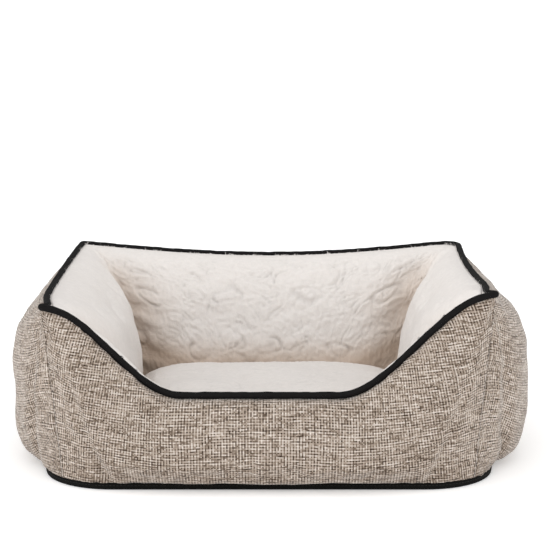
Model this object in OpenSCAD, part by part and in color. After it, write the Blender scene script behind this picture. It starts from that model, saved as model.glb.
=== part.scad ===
// Bolster pet bed: four stuffed walls sewn round a padded base, piped along the
// rim, with a low entry at the front and a zipped cushion that lifts out.
// Millimetres. +Z is up, the low entry faces -Y, and the origin is on the floor
// under the middle of the bed.

/* [Overall] */
// Width of the bed across the fattest part of its side walls
overall_w = 640; // [520:1:900]
// Depth of the bed across the fattest part of its front and rear walls
overall_d = 512; // [440:1:760]
// Height of the middle of the rim piping at the corners
wall_h = 228; // [170:1:300]

/* [Entry] */
// Height of the rim piping at the lowest part of the entry
entry_h = 114; // [96:1:160]
// Length of the level part of the entry
entry_level_w = 190; // [80:1:240]
// How far the entry sits to the left of the middle
entry_shift = 12; // [0:1:30]

/* [Walls] */
// How far the side walls bulge out beyond the rim
side_bulge = 53; // [25:1:70]
// How far the front wall bulges out beyond the rim
front_bulge = 38; // [20:1:60]
// How far the rear wall bulges out beyond the rim
rear_bulge = 46; // [20:1:60]
// How far the walls bulge into the well from the rim
inner_bulge = 84; // [60:1:100]
// Height at which the walls are fattest on the inside
crown_z = 66; // [56:1:74]
// How far inside the rim the plush panels are sewn to the floor
foot_inset = 54; // [40:1:58]
// Dip of the rear rim at its middle
rear_sag = 16; // [0:1:25]
// Dip of each side rim at its middle
side_sag = 4; // [0:1:12]
// How much the front right corner stands up, and the front left corner slumps
front_lean = 8; // [0:1:15]

/* [Fabrics] */
// Thickness of the woven outer panels
weave_t = 1.5; // [0.8:0.1:3]
// Thickness of the plush with its pile
plush_t = 5; // [3:0.5:8]
// Diameter of the rim piping
piping_d = 8.4; // [6:0.2:12]
// Thickness of the piping's bias strip
piping_strip_t = 1.2; // [0.6:0.1:1.5]

/* [Base] */
// How much wider than the rim the base is on every side
base_margin = 8; // [0:0.5:12]
// Corner radius of the base
base_corner_r = 70; // [30:1:100]
// Thickness of the non-slip base sheet
base_sheet_t = 2; // [1:0.1:4]
// Height of the binding that covers the edge of the base
binding_h = 8; // [5:0.5:12]
// Thickness of the binding
binding_t = 2; // [1:0.1:3]
// Thickness of the pad under the well's floor
pad_t = 10; // [4:0.5:14]
// Thickness of the well's floor fabric
liner_t = 1.5; // [0.8:0.1:3]

/* [Cushion] */
// Height of the cushion's side band
band_h = 36; // [30:1:44]
// Thickness of the side band and of the bottom fabric
band_t = 1.5; // [0.8:0.1:3]
// How far the seam edges stand out beyond the side band
seam_edge = 4; // [3.5:0.1:8]
// Rise of the cushion's top above its side band
crown_h = 32; // [10:1:45]
// Corner radius of the cushion
cushion_corner_r = 30; // [28:1:60]
// How far the cushion lifts out
lift = 250; // [150:1:400]

/* [Zip] */
// Radius of one zip coil
coil_r = 1; // [0.8:0.1:1.3]
// Width of each zip tape
tape_w = 10; // [8:0.5:12]
// Thickness of the zip tapes
tape_t = 0.8; // [0.5:0.1:1]
// Length of the slider
slider_l = 11; // [8:0.5:14]
// Length of the pull tab from its pivot
pull_l = 14; // [10:0.5:15]
// Width of the pull tab
pull_w = 5; // [4:0.5:6]

/* [Hidden] */
$fn = 48;

WEAVE = "#b0a395";
PLUSH = "#e8e4de";
BLACK = "#1c1b1a";
STUFFING = "#f4f2ee";
METAL = "#9a9a9c";

gap = 0.3;                  // free space between neighbouring pieces
rim_corner_r = 1.2 * piping_d;  // corner radius of the rim, which the piping can turn
well_corner_r = 26;         // corner radius of the well where the walls are fattest
corner_puff = 6;            // bulge that is left where two outer panels meet
weave_squareness = 2.5;     // 2 is an ellipse, more is squarer
FRONT = 0;
RIGHT = 1;
REAR = 2;
LEFT = 3;
NORMAL = [[0, -1], [1, 0], [0, 1], [-1, 0]];
ALONG = [[1, 0], [0, 1], [-1, 0], [0, -1]];
puff_mid = corner_puff + (base_margin + gap) / 2;
BULGE = [front_bulge, side_bulge, rear_bulge, side_bulge] - puff_mid * [1, 1, 1, 1];
SAG = [0, side_sag, rear_sag, side_sag];
CORNER_H = [wall_h - front_lean, wall_h + front_lean, wall_h, wall_h];

rim_hw = overall_w / 2 - side_bulge;
rim_hd = (overall_d - front_bulge - rear_bulge) / 2;
rim_cy = (front_bulge - rear_bulge) / 2;
piping_r = piping_d / 2;
columns = 20;               // columns of facets along a wall
arc_share = 2 / columns;    // share of a wall's columns in each rounded corner
seam_share = 0.003;         // share of a wall left free at each corner seam
skirt_z = binding_h + gap;  // where the outer panels start
pad_z = base_sheet_t + gap;
liner_z = pad_z + pad_t + gap;
floor_z = liner_z + liner_t;
foot_z = floor_z + gap;     // where the plush panels and the cushion start

function lerp(a, b, f) = a + (b - a) * f;
function smooth(f) = let(c = max(0, min(1, f))) c * c * (3 - 2 * c);
function signed_pow(v, e) = sign(v) * pow(abs(v), e);

// Half of a wall's length and its distance from the well's centre, at the rim.
function half_len(w) = w % 2 == 0 ? rim_hw : rim_hd;
function half_span(w) = w % 2 == 0 ? rim_hd : rim_hw;

// One side of a rounded rectangle that stands `out` beyond the rim, as
// [distance along, distance from centre], from u = 0 at one corner to u = 1.
function side_xy(w, u, out, r) =
    let(hl = half_len(w) + out - r,
        hs = half_span(w) + out - r,
        m = min(u, 1 - u),
        way = u < 0.5 ? -1 : 1,
        a = 45 * (1 - m / arc_share))
    m < arc_share
        ? [way * (hl + r * sin(a)), hs + r * cos(a)]
        : [way * hl * (0.5 - m) / (0.5 - arc_share), hs + r];

function place(w, xy, z) = [NORMAL[w].x * xy.y + ALONG[w].x * xy.x,
                            NORMAL[w].y * xy.y + ALONG[w].y * xy.x + rim_cy, z];

// Place along a wall as -1 to 1, and the share of the full bulge there.
function wall_x(w, u) = side_xy(w, u, 0, rim_corner_r).x / side_xy(w, 1, 0, rim_corner_r).x;
function spread(w, u) = 1 - pow(wall_x(w, u), 4);

// Height of the rim piping's middle.
function rim_z(w, u) =
    let(x = wall_x(w, u),
        straight = lerp(CORNER_H[w], CORNER_H[(w + 1) % 4], (x + 1) / 2),
        level = entry_level_w / 2 / rim_hw,
        off = abs(x + entry_shift / rim_hw * (1 - x * x)))
    w == FRONT
        ? lerp(entry_h, straight, smooth((off - level) / (1 - level)))
        : straight - SAG[w] * cos(90 * x);

// Top edge of the skins: it runs under the piping, lower where the rim is steep.
function skin_top_z(w, u) =
    let(a = max(0, u - 0.5 / columns),
        b = min(1, u + 0.5 / columns),
        run = side_xy(w, b, 0, rim_corner_r).x - side_xy(w, a, 0, rim_corner_r).x,
        slope = (rim_z(w, b) - rim_z(w, a)) / run)
    rim_z(w, u) - (piping_r + 3 * gap) * sqrt(1 + slope * slope);

// Outside of a wall at angle a, -90 at the base to 90 at the rim, d deep.
function outer_point(w, u, a, d, top, line_in) =
    let(mid = (top + skirt_z) / 2,
        half = (top - skirt_z) / 2 - d,
        k = pow(max(0, cos(a)), 2 / weave_squareness),
        z = mid + half * signed_pow(sin(a), 2 / weave_squareness),
        f = (z - skirt_z) / (top - skirt_z),
        out = lerp(base_margin - line_in, gap, f) + (corner_puff - d) * k,
        xy = side_xy(w, u, out, lerp(base_corner_r, rim_corner_r, f)))
    place(w, [xy.x, xy.y + BULGE[w] * spread(w, u) * k], z);

// Inside of a wall on row j, 0 at the floor, 2 at the fattest height, 8 at the rim.
function inner_point(w, u, j, d, top) =
    let(q = max(0, 1 - j / 2),
        a = max(0, j - 2) * 15,
        z = j < 2 ? lerp(crown_z, foot_z, q) : crown_z + (top - crown_z) * sin(a),
        in = (inner_bulge - d - (inner_bulge - foot_inset) * q * q - gap) * cos(a) + gap,
        xy = side_xy(w, u, -in, lerp(well_corner_r, rim_corner_r, sin(a))))
    place(w, xy, z);

function wall_us() = [for (i = [0:columns]) lerp(seam_share, 1 - seam_share, i / columns)];

// A closed solid between two grids of points with the same rows and columns:
// `front` is the side whose facets face out when read along rows then columns.
module solid_between(front, back) {
    rows = len(front);
    cols = len(front[0]);
    function at(s, r, c) = s * rows * cols + r * cols + c;
    points = [for (g = [front, back]) for (row = g) for (p = row) p];
    sheets = [for (r = [0:rows - 2]) for (c = [0:cols - 2])
        each [[at(0, r, c), at(0, r + 1, c + 1), at(0, r, c + 1)],
              [at(0, r, c), at(0, r + 1, c), at(0, r + 1, c + 1)],
              [at(1, r, c), at(1, r, c + 1), at(1, r + 1, c + 1)],
              [at(1, r, c), at(1, r + 1, c + 1), at(1, r + 1, c)]]];
    ends = [for (r = [0:rows - 2])
        each [[at(0, r, 0), at(1, r, 0), at(1, r + 1, 0)],
              [at(0, r, 0), at(1, r + 1, 0), at(0, r + 1, 0)],
              [at(0, r, cols - 1), at(1, r + 1, cols - 1), at(1, r, cols - 1)],
              [at(0, r, cols - 1), at(0, r + 1, cols - 1), at(1, r + 1, cols - 1)]]];
    edges = [for (c = [0:cols - 2])
        each [[at(0, 0, c), at(0, 0, c + 1), at(1, 0, c + 1)],
              [at(0, 0, c), at(1, 0, c + 1), at(1, 0, c)],
              [at(0, rows - 1, c), at(1, rows - 1, c + 1), at(0, rows - 1, c + 1)],
              [at(0, rows - 1, c), at(1, rows - 1, c), at(1, rows - 1, c + 1)]]];
    polyhedron(points, concat(sheets, ends, edges), convexity = 6);
}

module outer_panel(w) {
    function grid(d) = [for (j = [0:8])
        [for (u = wall_us()) outer_point(w, u, -90 + 22.5 * j, d, skin_top_z(w, u), 0)]];
    color(WEAVE) solid_between(grid(0), grid(weave_t));
}

module plush_panel(w) {
    function grid(d) = [for (j = [0:8])
        [for (u = wall_us()) inner_point(w, u, j, d, skin_top_z(w, u) - d)]];
    color(PLUSH) solid_between(grid(plush_t), grid(0));
}

// Stuffing of one wall, from the base sheet up between the two skins.
module wall_fill(w) {
    deep_out = weave_t + gap;
    deep_in = plush_t + gap;
    function top(u) = skin_top_z(w, u) - deep_in - gap;
    function foot(u, out, r) = place(w, side_xy(w, u, out, r), pad_z);
    front = concat(
        [[for (u = wall_us()) foot(u, base_margin - binding_t - gap, base_corner_r)]],
        [for (j = [0:8]) [for (u = wall_us())
            outer_point(w, u, -90 + 22.5 * j, deep_out, top(u), binding_t + gap)]]);
    back = concat(
        [[for (u = wall_us()) foot(u, deep_in - foot_inset, well_corner_r)]],
        [for (j = [0:8]) [for (u = wall_us()) inner_point(w, u, j, deep_in, top(u))]]);
    color(STUFFING) solid_between(front, back);
}

// A closed loop of piping: `section` is swept round the rim.
module round_the_rim(section) {
    path = [for (w = [0:3]) for (i = [0:columns - 1])
        place(w, side_xy(w, i / columns, 0, rim_corner_r), rim_z(w, i / columns))];
    n = len(path);
    k = len(section);
    function unit(v) = v / norm(v);
    points = [for (i = [0:n - 1])
        let(run = unit(path[(i + 1) % n] - path[(i + n - 1) % n]),
            side = unit(cross(run, [0, 0, 1])),
            up = cross(side, run))
        for (p = section) path[i] + side * p.x + up * p.y];
    faces = [for (i = [0:n - 1]) for (j = [0:k - 1])
        let(a = i * k + j,
            b = i * k + (j + 1) % k,
            c = (i + 1) % n * k + (j + 1) % k,
            d = (i + 1) % n * k + j)
        each [[a, b, c], [a, c, d]]];
    polyhedron(points, faces, convexity = 8);
}

function arc(r, from, to, steps) = [for (i = [0:steps]) let(a = lerp(from, to, i / steps))
    [r * cos(a), r * sin(a)]];

// Rounded rectangle made of true arcs, about the middle of the well.
module outline(hw, hd, r) {
    translate([0, rim_cy]) {
        square([2 * hw, 2 * (hd - r)], center = true);
        square([2 * (hw - r), 2 * hd], center = true);
        for (x = [-1, 1]) for (y = [-1, 1])
            translate([x * (hw - r), y * (hd - r)]) circle(r);
    }
}

module slab(z, t, hw, hd, r) {
    translate([0, 0, z]) linear_extrude(t) outline(hw, hd, r);
}

module base_panel() {
    out = base_margin - binding_t - gap;
    color(BLACK) slab(0, base_sheet_t, rim_hw + out, rim_hd + out, base_corner_r - binding_t);
}

module base_binding() {
    out = base_margin;
    lift_off = gap;
    color(BLACK) translate([0, 0, lift_off]) linear_extrude(binding_h - lift_off) difference() {
        outline(rim_hw + out, rim_hd + out, base_corner_r);
        outline(rim_hw + out - binding_t, rim_hd + out - binding_t, base_corner_r - binding_t);
    }
}

floor_slack = 1;            // free space between the pad and the walls' stuffing
floor_out = plush_t - foot_inset - floor_slack;
module base_pad() {
    color(STUFFING)
        slab(pad_z, pad_t, rim_hw + floor_out, rim_hd + floor_out, well_corner_r);
}

module floor_liner() {
    color(WEAVE)
        slab(liner_z, liner_t, rim_hw + floor_out, rim_hd + floor_out, well_corner_r);
}

module outer_front_panel() { outer_panel(FRONT); }
module outer_right_panel() { outer_panel(RIGHT); }
module outer_rear_panel() { outer_panel(REAR); }
module outer_left_panel() { outer_panel(LEFT); }
module plush_front_panel() { plush_panel(FRONT); }
module plush_right_panel() { plush_panel(RIGHT); }
module plush_rear_panel() { plush_panel(REAR); }
module plush_left_panel() { plush_panel(LEFT); }
module front_wall_fill() { wall_fill(FRONT); }
module right_wall_fill() { wall_fill(RIGHT); }
module rear_wall_fill() { wall_fill(REAR); }
module left_wall_fill() { wall_fill(LEFT); }

piping_flats = 6;           // flats inside the bias strip, which reaches 150 degrees each way
strip_inner_r = piping_r - piping_strip_t;

// Bias strip wrapped round its cord, open below where it is sewn in.
module rim_piping() {
    color(BLACK) round_the_rim(concat(arc(piping_r, -60, 240, 8),
                                      arc(strip_inner_r, 240, -60, piping_flats)));
}

// The cord stays clear of the middles of the strip's flats.
module rim_piping_cord() {
    r = strip_inner_r * cos(150 / piping_flats) - gap;
    color(STUFFING) round_the_rim([for (i = [0:5]) [r * cos(60 * i), r * sin(60 * i)]]);
}

// Cushion. Its footprint clears the fattest height of the walls all the way up.
cushion_gap = 0.8;
cushion_hw = rim_hw - inner_bulge - cushion_gap;
cushion_hd = rim_hd - inner_bulge - cushion_gap;
band_z = foot_z + band_t + gap;
band_top_z = band_z + band_h;
band_hw = cushion_hw - seam_edge;
band_hd = cushion_hd - seam_edge;
band_corner_r = cushion_corner_r - seam_edge;
back_y = rim_cy + band_hd;          // outside of the side band at the rear

// Points of a rounded rectangle: five along each corner and five along each side.
function outline_points(hw, hd, r) =
    let(turn = [0:22.5:90],
        hub = [[hw - r, hd - r], [r - hw, hd - r], [r - hw, r - hd], [hw - r, r - hd]],
        arcs = [for (c = [0:3]) [for (a = turn)
            hub[c] + r * [cos(a + 90 * c), sin(a + 90 * c)]]])
    [for (c = [0:3]) each concat(arcs[c],
        [for (i = [1:5]) lerp(arcs[c][4], arcs[(c + 1) % 4][0], i / 6)])];

RINGS = [1, 0.97, 0.91, 0.8, 0.62, 0.4, 0.2];

// A crowned solid: the same rings above and below, closed at the rim and centre.
module crowned(hw, hd, r, cy, edge_z, rise, under_z, under_rise) {
    loop = outline_points(hw, hd, r);
    n = len(loop);
    last = len(RINGS) - 1;
    function crown(f) = sqrt(1 - pow(f, 2.6));
    function level(z, h) = [for (f = RINGS) for (p = loop)
        [p.x * f, p.y * f + cy, z + h * crown(f)]];
    points = concat(level(edge_z, rise), level(under_z, under_rise),
                    [[0, cy, edge_z + rise], [0, cy, under_z + under_rise]]);
    size = n * len(RINGS);
    rings = [for (k = [0:last - 1]) for (i = [0:n - 1])
        let(a = k * n + i, b = k * n + (i + 1) % n)
        each [[a, b + n, b], [a, a + n, b + n],
              [a + size, b + size, b + n + size], [a + size, b + n + size, a + n + size]]];
    caps = [for (i = [0:n - 1])
        let(a = i, b = (i + 1) % n, c = last * n + i, d = last * n + (i + 1) % n)
        each [[c, 2 * size, d], [c + size, d + size, 2 * size + 1],
              [a, b, b + size], [a, b + size, a + size]]];
    polyhedron(points, concat(rings, caps), convexity = 4);
}

module cushion_top_panel() {
    z = band_top_z + gap;
    color(PLUSH) crowned(cushion_hw, cushion_hd, cushion_corner_r, rim_cy,
                         z + plush_t / 2, crown_h, z, crown_h - plush_t / 2);
}

module cushion_bottom_panel() {
    color(WEAVE) slab(foot_z, band_t, cushion_hw, cushion_hd, cushion_corner_r);
}

zip_room = 10;              // space kept free behind the zip
zip_half = band_hw - band_corner_r - 15;    // half of the zip's length
zip_z = band_z + tape_w + gap;
zip_y = back_y - band_t - gap - tape_t / 2;
coil_z = coil_r + 0.4;      // a coil's height above or below the zip's middle
window_half_h = tape_w - 3;

module cushion_side_band() {
    color(WEAVE) difference() {
        slab(band_z, band_h, band_hw, band_hd, band_corner_r);
        slab(band_z - 1, band_h + 2, band_hw - band_t, band_hd - band_t,
             band_corner_r - band_t);
        translate([-zip_half, back_y - 2 * band_t, zip_z - window_half_h])
            cube([2 * zip_half, 4 * band_t, 2 * window_half_h]);
    }
}

module cushion_fill() {
    hd = band_hd - band_t - gap - zip_room / 2;
    color(STUFFING) crowned(band_hw - band_t - gap, hd, band_corner_r - band_t,
                            rim_cy - zip_room / 2, band_top_z, crown_h - plush_t / 2 - gap,
                            band_z, 0);
}

// Zip along the rear of the cushion, seen closed.
module zip_tape(side) {
    near = coil_z + coil_r + gap;
    h = tape_w - near;
    mid = zip_z + side * (near + h / 2);
    color(WEAVE) translate([0, zip_y, mid])
        cube([2 * zip_half + 6, tape_t, h], center = true);
}

module zip_coil(side) {
    color(PLUSH) translate([-zip_half + 2, zip_y, zip_z + side * coil_z])
        rotate([0, 90, 0]) cylinder(r = coil_r, h = 2 * zip_half - 4, $fn = 24);
}

module zip_tape_upper() { zip_tape(1); }
module zip_tape_lower() { zip_tape(-1); }
module zip_coil_upper() { zip_coil(1); }
module zip_coil_lower() { zip_coil(-1); }

module zip_end_stops() {
    stop_l = 1.6;
    stop_h = 2 * (coil_z + coil_r);
    color(METAL) for (way = [-1, 1])
        translate([way * (zip_half - 2 + gap + stop_l / 2), zip_y, zip_z])
            cube([stop_l, 2 * coil_r, stop_h], center = true);
}

slider_gap = 0.2;           // running clearance between the slider and the chain
plate_t = 0.8;
slider_x = zip_half - 3 - slider_l / 2;     // the slider's middle with the zip closed
slider_half_h = coil_z + coil_r + slider_gap + plate_t;
slider_in = coil_r + slider_gap;            // half of the channel that the coils run in
pivot_r = 0.5;
eye_r = 1.1;
pivot_gap = 0.1;
pivot_x = slider_x - slider_l / 2 + 2.4;
pivot_y = zip_y + slider_in + plate_t + eye_r + slider_gap;
eye_w = 2.4;

// Two plates joined by a divider between the coils, with a bail for the pull tab.
module zip_slider() {
    ear_t = 0.9;
    ear_z = eye_w / 2 + pivot_gap;
    color(METAL) {
        difference() {
            translate([slider_x, zip_y, zip_z])
                cube([slider_l, 2 * (slider_in + plate_t), 2 * slider_half_h], center = true);
            translate([slider_x, zip_y, zip_z])
                cube([slider_l + 2, 2 * slider_in, 2 * (slider_half_h - plate_t)],
                     center = true);
            translate([slider_x, zip_y, zip_z])
                cube([slider_l + 2, tape_t + 2 * slider_gap, 3 * slider_half_h],
                     center = true);
        }
        translate([slider_x + slider_l / 2 - 2, zip_y, zip_z])
            cube([3, 2 * slider_in + plate_t, 0.4], center = true);
        for (way = [-1, 1])
            translate([pivot_x, zip_y + slider_in + plate_t / 2,
                       zip_z + way * (ear_z + ear_t / 2)]) {
                translate([-eye_r, 0, -ear_t / 2])
                    cube([2 * eye_r, pivot_y - zip_y - slider_in - plate_t / 2, ear_t]);
                translate([0, pivot_y - zip_y - slider_in - plate_t / 2, -ear_t / 2])
                    cylinder(r = eye_r, h = ear_t, $fn = 32);
            }
        translate([pivot_x, pivot_y, zip_z - ear_z - ear_t / 2])
            cylinder(r = pivot_r, h = 2 * ear_z + ear_t, $fn = 32);
    }
}

// Pull tab: an eye round the bail's pin and a flat tab that lies along the zip.
module zip_pull_tab() {
    tab_t = 1;
    color(METAL) difference() {
        union() {
            translate([pivot_x, pivot_y, zip_z - eye_w / 2])
                cylinder(r = eye_r, h = eye_w, $fn = 32);
            translate([pivot_x - pull_l / 2, pivot_y - tab_t / 2, zip_z - eye_w / 2])
                cube([pull_l / 2, tab_t, eye_w]);
            translate([pivot_x - pull_l + pull_w / 2, pivot_y - tab_t / 2, zip_z - pull_w / 2])
                cube([pull_l - pull_w / 2 - eye_r - 1.2, tab_t, pull_w]);
            translate([pivot_x - pull_l + pull_w / 2, pivot_y + tab_t / 2, zip_z])
                rotate([90, 0, 0]) cylinder(d = pull_w, h = tab_t, $fn = 32);
        }
        translate([pivot_x, pivot_y, zip_z - eye_w])
            cylinder(r = pivot_r + pivot_gap, h = 2 * eye_w, $fn = 32);
    }
}

base_panel();
base_binding();
base_pad();
floor_liner();
outer_front_panel();
outer_right_panel();
outer_rear_panel();
outer_left_panel();
plush_front_panel();
plush_right_panel();
plush_rear_panel();
plush_left_panel();
front_wall_fill();
right_wall_fill();
rear_wall_fill();
left_wall_fill();
rim_piping();
rim_piping_cord();
cushion_top_panel();
cushion_bottom_panel();
cushion_side_band();
cushion_fill();
zip_tape_upper();
zip_tape_lower();
zip_coil_upper();
zip_coil_lower();
zip_end_stops();
zip_slider();
zip_pull_tab();
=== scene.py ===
"""Looks of a bolster pet bed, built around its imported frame. Lengths are in metres."""

import logging
import math
from dataclasses import dataclass, field
from enum import Enum
from typing import Callable

import bmesh
import bpy
import numpy as np
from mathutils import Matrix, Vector


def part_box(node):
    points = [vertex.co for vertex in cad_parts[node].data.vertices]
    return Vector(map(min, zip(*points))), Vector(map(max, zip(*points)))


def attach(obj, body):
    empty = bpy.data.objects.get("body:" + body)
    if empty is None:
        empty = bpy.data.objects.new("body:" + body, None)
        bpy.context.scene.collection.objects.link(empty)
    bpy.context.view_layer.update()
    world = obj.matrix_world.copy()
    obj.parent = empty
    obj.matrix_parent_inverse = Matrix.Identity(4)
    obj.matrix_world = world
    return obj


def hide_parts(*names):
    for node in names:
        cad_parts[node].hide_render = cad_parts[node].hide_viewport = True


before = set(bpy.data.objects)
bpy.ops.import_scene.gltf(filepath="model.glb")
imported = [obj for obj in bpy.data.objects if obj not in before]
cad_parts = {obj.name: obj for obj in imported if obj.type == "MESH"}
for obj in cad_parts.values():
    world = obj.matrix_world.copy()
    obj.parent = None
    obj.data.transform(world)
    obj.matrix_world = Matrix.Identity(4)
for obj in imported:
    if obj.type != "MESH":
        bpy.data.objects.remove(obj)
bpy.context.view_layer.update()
LOG = logging.getLogger("pet_bed")

Grid = np.ndarray  # rows x columns x 3 places, or rows x columns x 2 cloth coordinates
BED = "bed"
CUSHION = "cushion"


class Side(Enum):
    """The four walls, anticlockwise from the front seen from above."""

    FRONT = 0
    RIGHT = 1
    REAR = 2
    LEFT = 3

    @property
    def label(self) -> str:
        """The wall's name as the CAD nodes spell it."""
        return self.name.lower()

    @property
    def out(self) -> np.ndarray:
        """Unit vector from the well towards this wall."""
        return np.array([(0, -1), (1, 0), (0, 1), (-1, 0)][self.value], float)

    @property
    def along(self) -> np.ndarray:
        """Unit vector along this wall, anticlockwise."""
        return np.array([(1, 0), (0, 1), (-1, 0), (0, -1)][self.value], float)


# --------------------------------------------------------------------------- small maths


def smooth(f: np.ndarray) -> np.ndarray:
    """Eases from 0 to 1 as f goes from 0 to 1."""
    c = np.clip(f, 0, 1)
    return c * c * (3 - 2 * c)


def mix(a: np.ndarray | float, b: np.ndarray | float, f: np.ndarray | float) -> np.ndarray | float:
    """Value a at f = 0 and value b at f = 1."""
    return a + (b - a) * f


def signed_power(v: np.ndarray, e: float) -> np.ndarray:
    """Power e of v's size, with v's sign."""
    return np.sign(v) * np.abs(v) ** e


def ripple(seed: int, x: np.ndarray, y: np.ndarray, wavelength: float, waves: int = 9) -> np.ndarray:
    """Smooth repeatable unevenness, about -1 to 1.

    Args:
        seed: picks the pattern.
        x: first coordinate of each place.
        y: second coordinate of each place.
        wavelength: typical distance between bumps.
        waves: how many waves are added up.

    Returns:
        The height at each place.
    """
    rng = np.random.default_rng(seed)
    total = np.zeros_like(x)
    for _ in range(waves):
        turn, phase = rng.uniform(0, 2 * math.pi, 2)
        k = 2 * math.pi / (wavelength * rng.uniform(0.7, 1.6))
        total += np.sin(k * (x * math.cos(turn) + y * math.sin(turn)) + phase)
    return total / math.sqrt(waves)


def normals(places: Grid) -> Grid:
    """Unit normals of a grid of places, from its rows and columns.

    Args:
        places: grid of places.

    Returns:
        Unit vectors, one for each place.
    """
    across = np.gradient(places, axis=1)
    up = np.gradient(places, axis=0)
    n = np.cross(across, up)
    return n / np.maximum(np.linalg.norm(n, axis=2, keepdims=True), 1e-12)


def lengths(places: Grid, axis: int) -> np.ndarray:
    """Distance run along the rows or columns of a grid of places, from its first edge.

    Args:
        places: grid of places.
        axis: 0 to run down the columns, 1 along the rows.

    Returns:
        The distance at each place.
    """
    step = np.linalg.norm(np.diff(places, axis=axis), axis=2)
    run = np.cumsum(step, axis=axis)
    edge = np.zeros_like(np.take(run, [0], axis=axis))
    return np.concatenate([edge, run], axis=axis)


# --------------------------------------------------------------------------- mesh makers


def finish_mesh(bm: bmesh.types.BMesh, name: str) -> bpy.types.Object:
    """Turns a bmesh into a smooth-shaded object at the origin.

    Args:
        bm: the mesh, which is freed.
        name: name of the new piece.

    Returns:
        The linked object.
    """
    mesh = bpy.data.meshes.new(name)
    bm.to_mesh(mesh)
    bm.free()
    mesh.shade_smooth()
    piece = bpy.data.objects.new(name, mesh)
    bpy.context.scene.collection.objects.link(piece)
    return piece


def cloth_grid(name: str, places: Grid, cloth: Grid, closed: bool = False,
               marks: dict[str, np.ndarray] | None = None,
               open_cells: np.ndarray | None = None) -> bpy.types.Object:
    """A sheet shaped from a flat grid, with its cloth coordinates as UVs.

    Args:
        name: name of the new piece.
        places: where each grid point goes.
        cloth: cloth coordinates of each grid point, in metres.
        closed: True joins the last column to the first.
        marks: named values of each grid point, stored as attributes.
        open_cells: True for each cell that is left open.

    Returns:
        The linked object, with an "edge" attribute on its first and last rows and columns.
    """
    rows, cols = places.shape[:2]
    bm = bmesh.new()
    bmesh.ops.create_grid(bm, x_segments=cols - 1, y_segments=rows - 1, size=1)
    layers = {m: bm.verts.layers.float.new(m) for m in marks or {}}
    edge = bm.verts.layers.float.new("edge")
    uv = bm.loops.layers.uv.new("cloth")
    where = {}
    for v in bm.verts:
        c = round((v.co.x + 1) / 2 * (cols - 1))
        r = round((v.co.y + 1) / 2 * (rows - 1))
        where[v.index] = (r, c)
        v.co = places[r, c]
        v[edge] = float(r in (0, rows - 1) or c in (0, cols - 1))
        for m, layer in layers.items():
            v[layer] = marks[m][r, c]
    for face in bm.faces:
        for loop in face.loops:
            loop[uv].uv = cloth[where[loop.vert.index]]
    if open_cells is not None:
        def cell(face: bmesh.types.BMFace) -> tuple[int, int]:
            """Lowest row and column of a face."""
            return tuple(min(where[v.index][k] for v in face.verts) for k in (0, 1))
        holes = [f for f in bm.faces if open_cells[cell(f)]]
        bmesh.ops.delete(bm, geom=holes, context="FACES")
    if closed:
        bmesh.ops.remove_doubles(bm, verts=bm.verts, dist=1e-6)
    return finish_mesh(bm, name)


def sweep(path: np.ndarray, side: np.ndarray, up: np.ndarray, section: np.ndarray,
          scale: np.ndarray | float = 1.0) -> tuple[Grid, Grid]:
    """Carries a section along a path.

    Args:
        path: places along the path.
        side: unit vector of the section's first coordinate at each place.
        up: unit vector of its second coordinate at each place.
        section: points of the section.
        scale: the section's size at each place.

    Returns:
        The places, with one row for each point of the section, and their cloth coordinates.
    """
    size = np.broadcast_to(scale, len(path))[None, :, None]
    places = path[None] + (section[:, None, :1] * side[None] + section[:, None, 1:] * up[None]) * size
    run = lengths(path[None], 1)[0]
    round_it = np.concatenate([[0], np.cumsum(np.linalg.norm(np.diff(section, axis=0), axis=1))])
    cloth = np.stack(np.meshgrid(run, round_it), axis=-1)
    return places, cloth


def oval(half_w: float, half_h: float, count: int, power: float = 2.0,
         middle: tuple[float, float] = (0.0, 0.0)) -> np.ndarray:
    """A closed section, round at power 2 and squarer above it.

    Args:
        half_w: half of its width.
        half_h: half of its height.
        count: points round it.
        power: 2 for an ellipse, more for a squarer one.
        middle: its middle.

    Returns:
        Places across and up.
    """
    a = np.linspace(0, 2 * np.pi, count + 1)
    c, d = np.cos(a), np.sin(a)
    return np.stack([middle[0] + half_w * signed_power(c, 2 / power),
                     middle[1] + half_h * signed_power(d, 2 / power)], axis=1)


def thicken(piece: bpy.types.Object, thickness: float, outward: bool = False) -> None:
    """Gives a sheet its thickness, on its inner side unless outward is True.

    Args:
        piece: the sheet.
        thickness: its thickness.
        outward: True to put it on the outer side.
    """
    wall = piece.modifiers.new("thickness", "SOLIDIFY")
    wall.thickness = thickness
    wall.offset = 1.0 if outward else -1.0


def read_places(piece: bpy.types.Object) -> np.ndarray:
    """Places of a piece's points.

    Args:
        piece: the piece.

    Returns:
        One row for each point.
    """
    out = np.empty(len(piece.data.vertices) * 3, np.float32)
    piece.data.vertices.foreach_get("co", out)
    return out.reshape(-1, 3).astype(float)


def write_places(piece: bpy.types.Object, places: np.ndarray) -> None:
    """Moves a piece's points to the given places."""
    piece.data.vertices.foreach_set("co", places.astype(np.float32).ravel())
    piece.data.update()


def close_up(piece: bpy.types.Object) -> None:
    """Fills a piece's open ends and turns its faces outwards.

    Args:
        piece: the piece.
    """
    bm = bmesh.new()
    bm.from_mesh(piece.data)
    bmesh.ops.holes_fill(bm, edges=bm.edges)
    bmesh.ops.triangulate(bm, faces=[f for f in bm.faces if len(f.verts) > 4])
    bmesh.ops.recalc_face_normals(bm, faces=bm.faces)
    bm.to_mesh(piece.data)
    bm.free()


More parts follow.
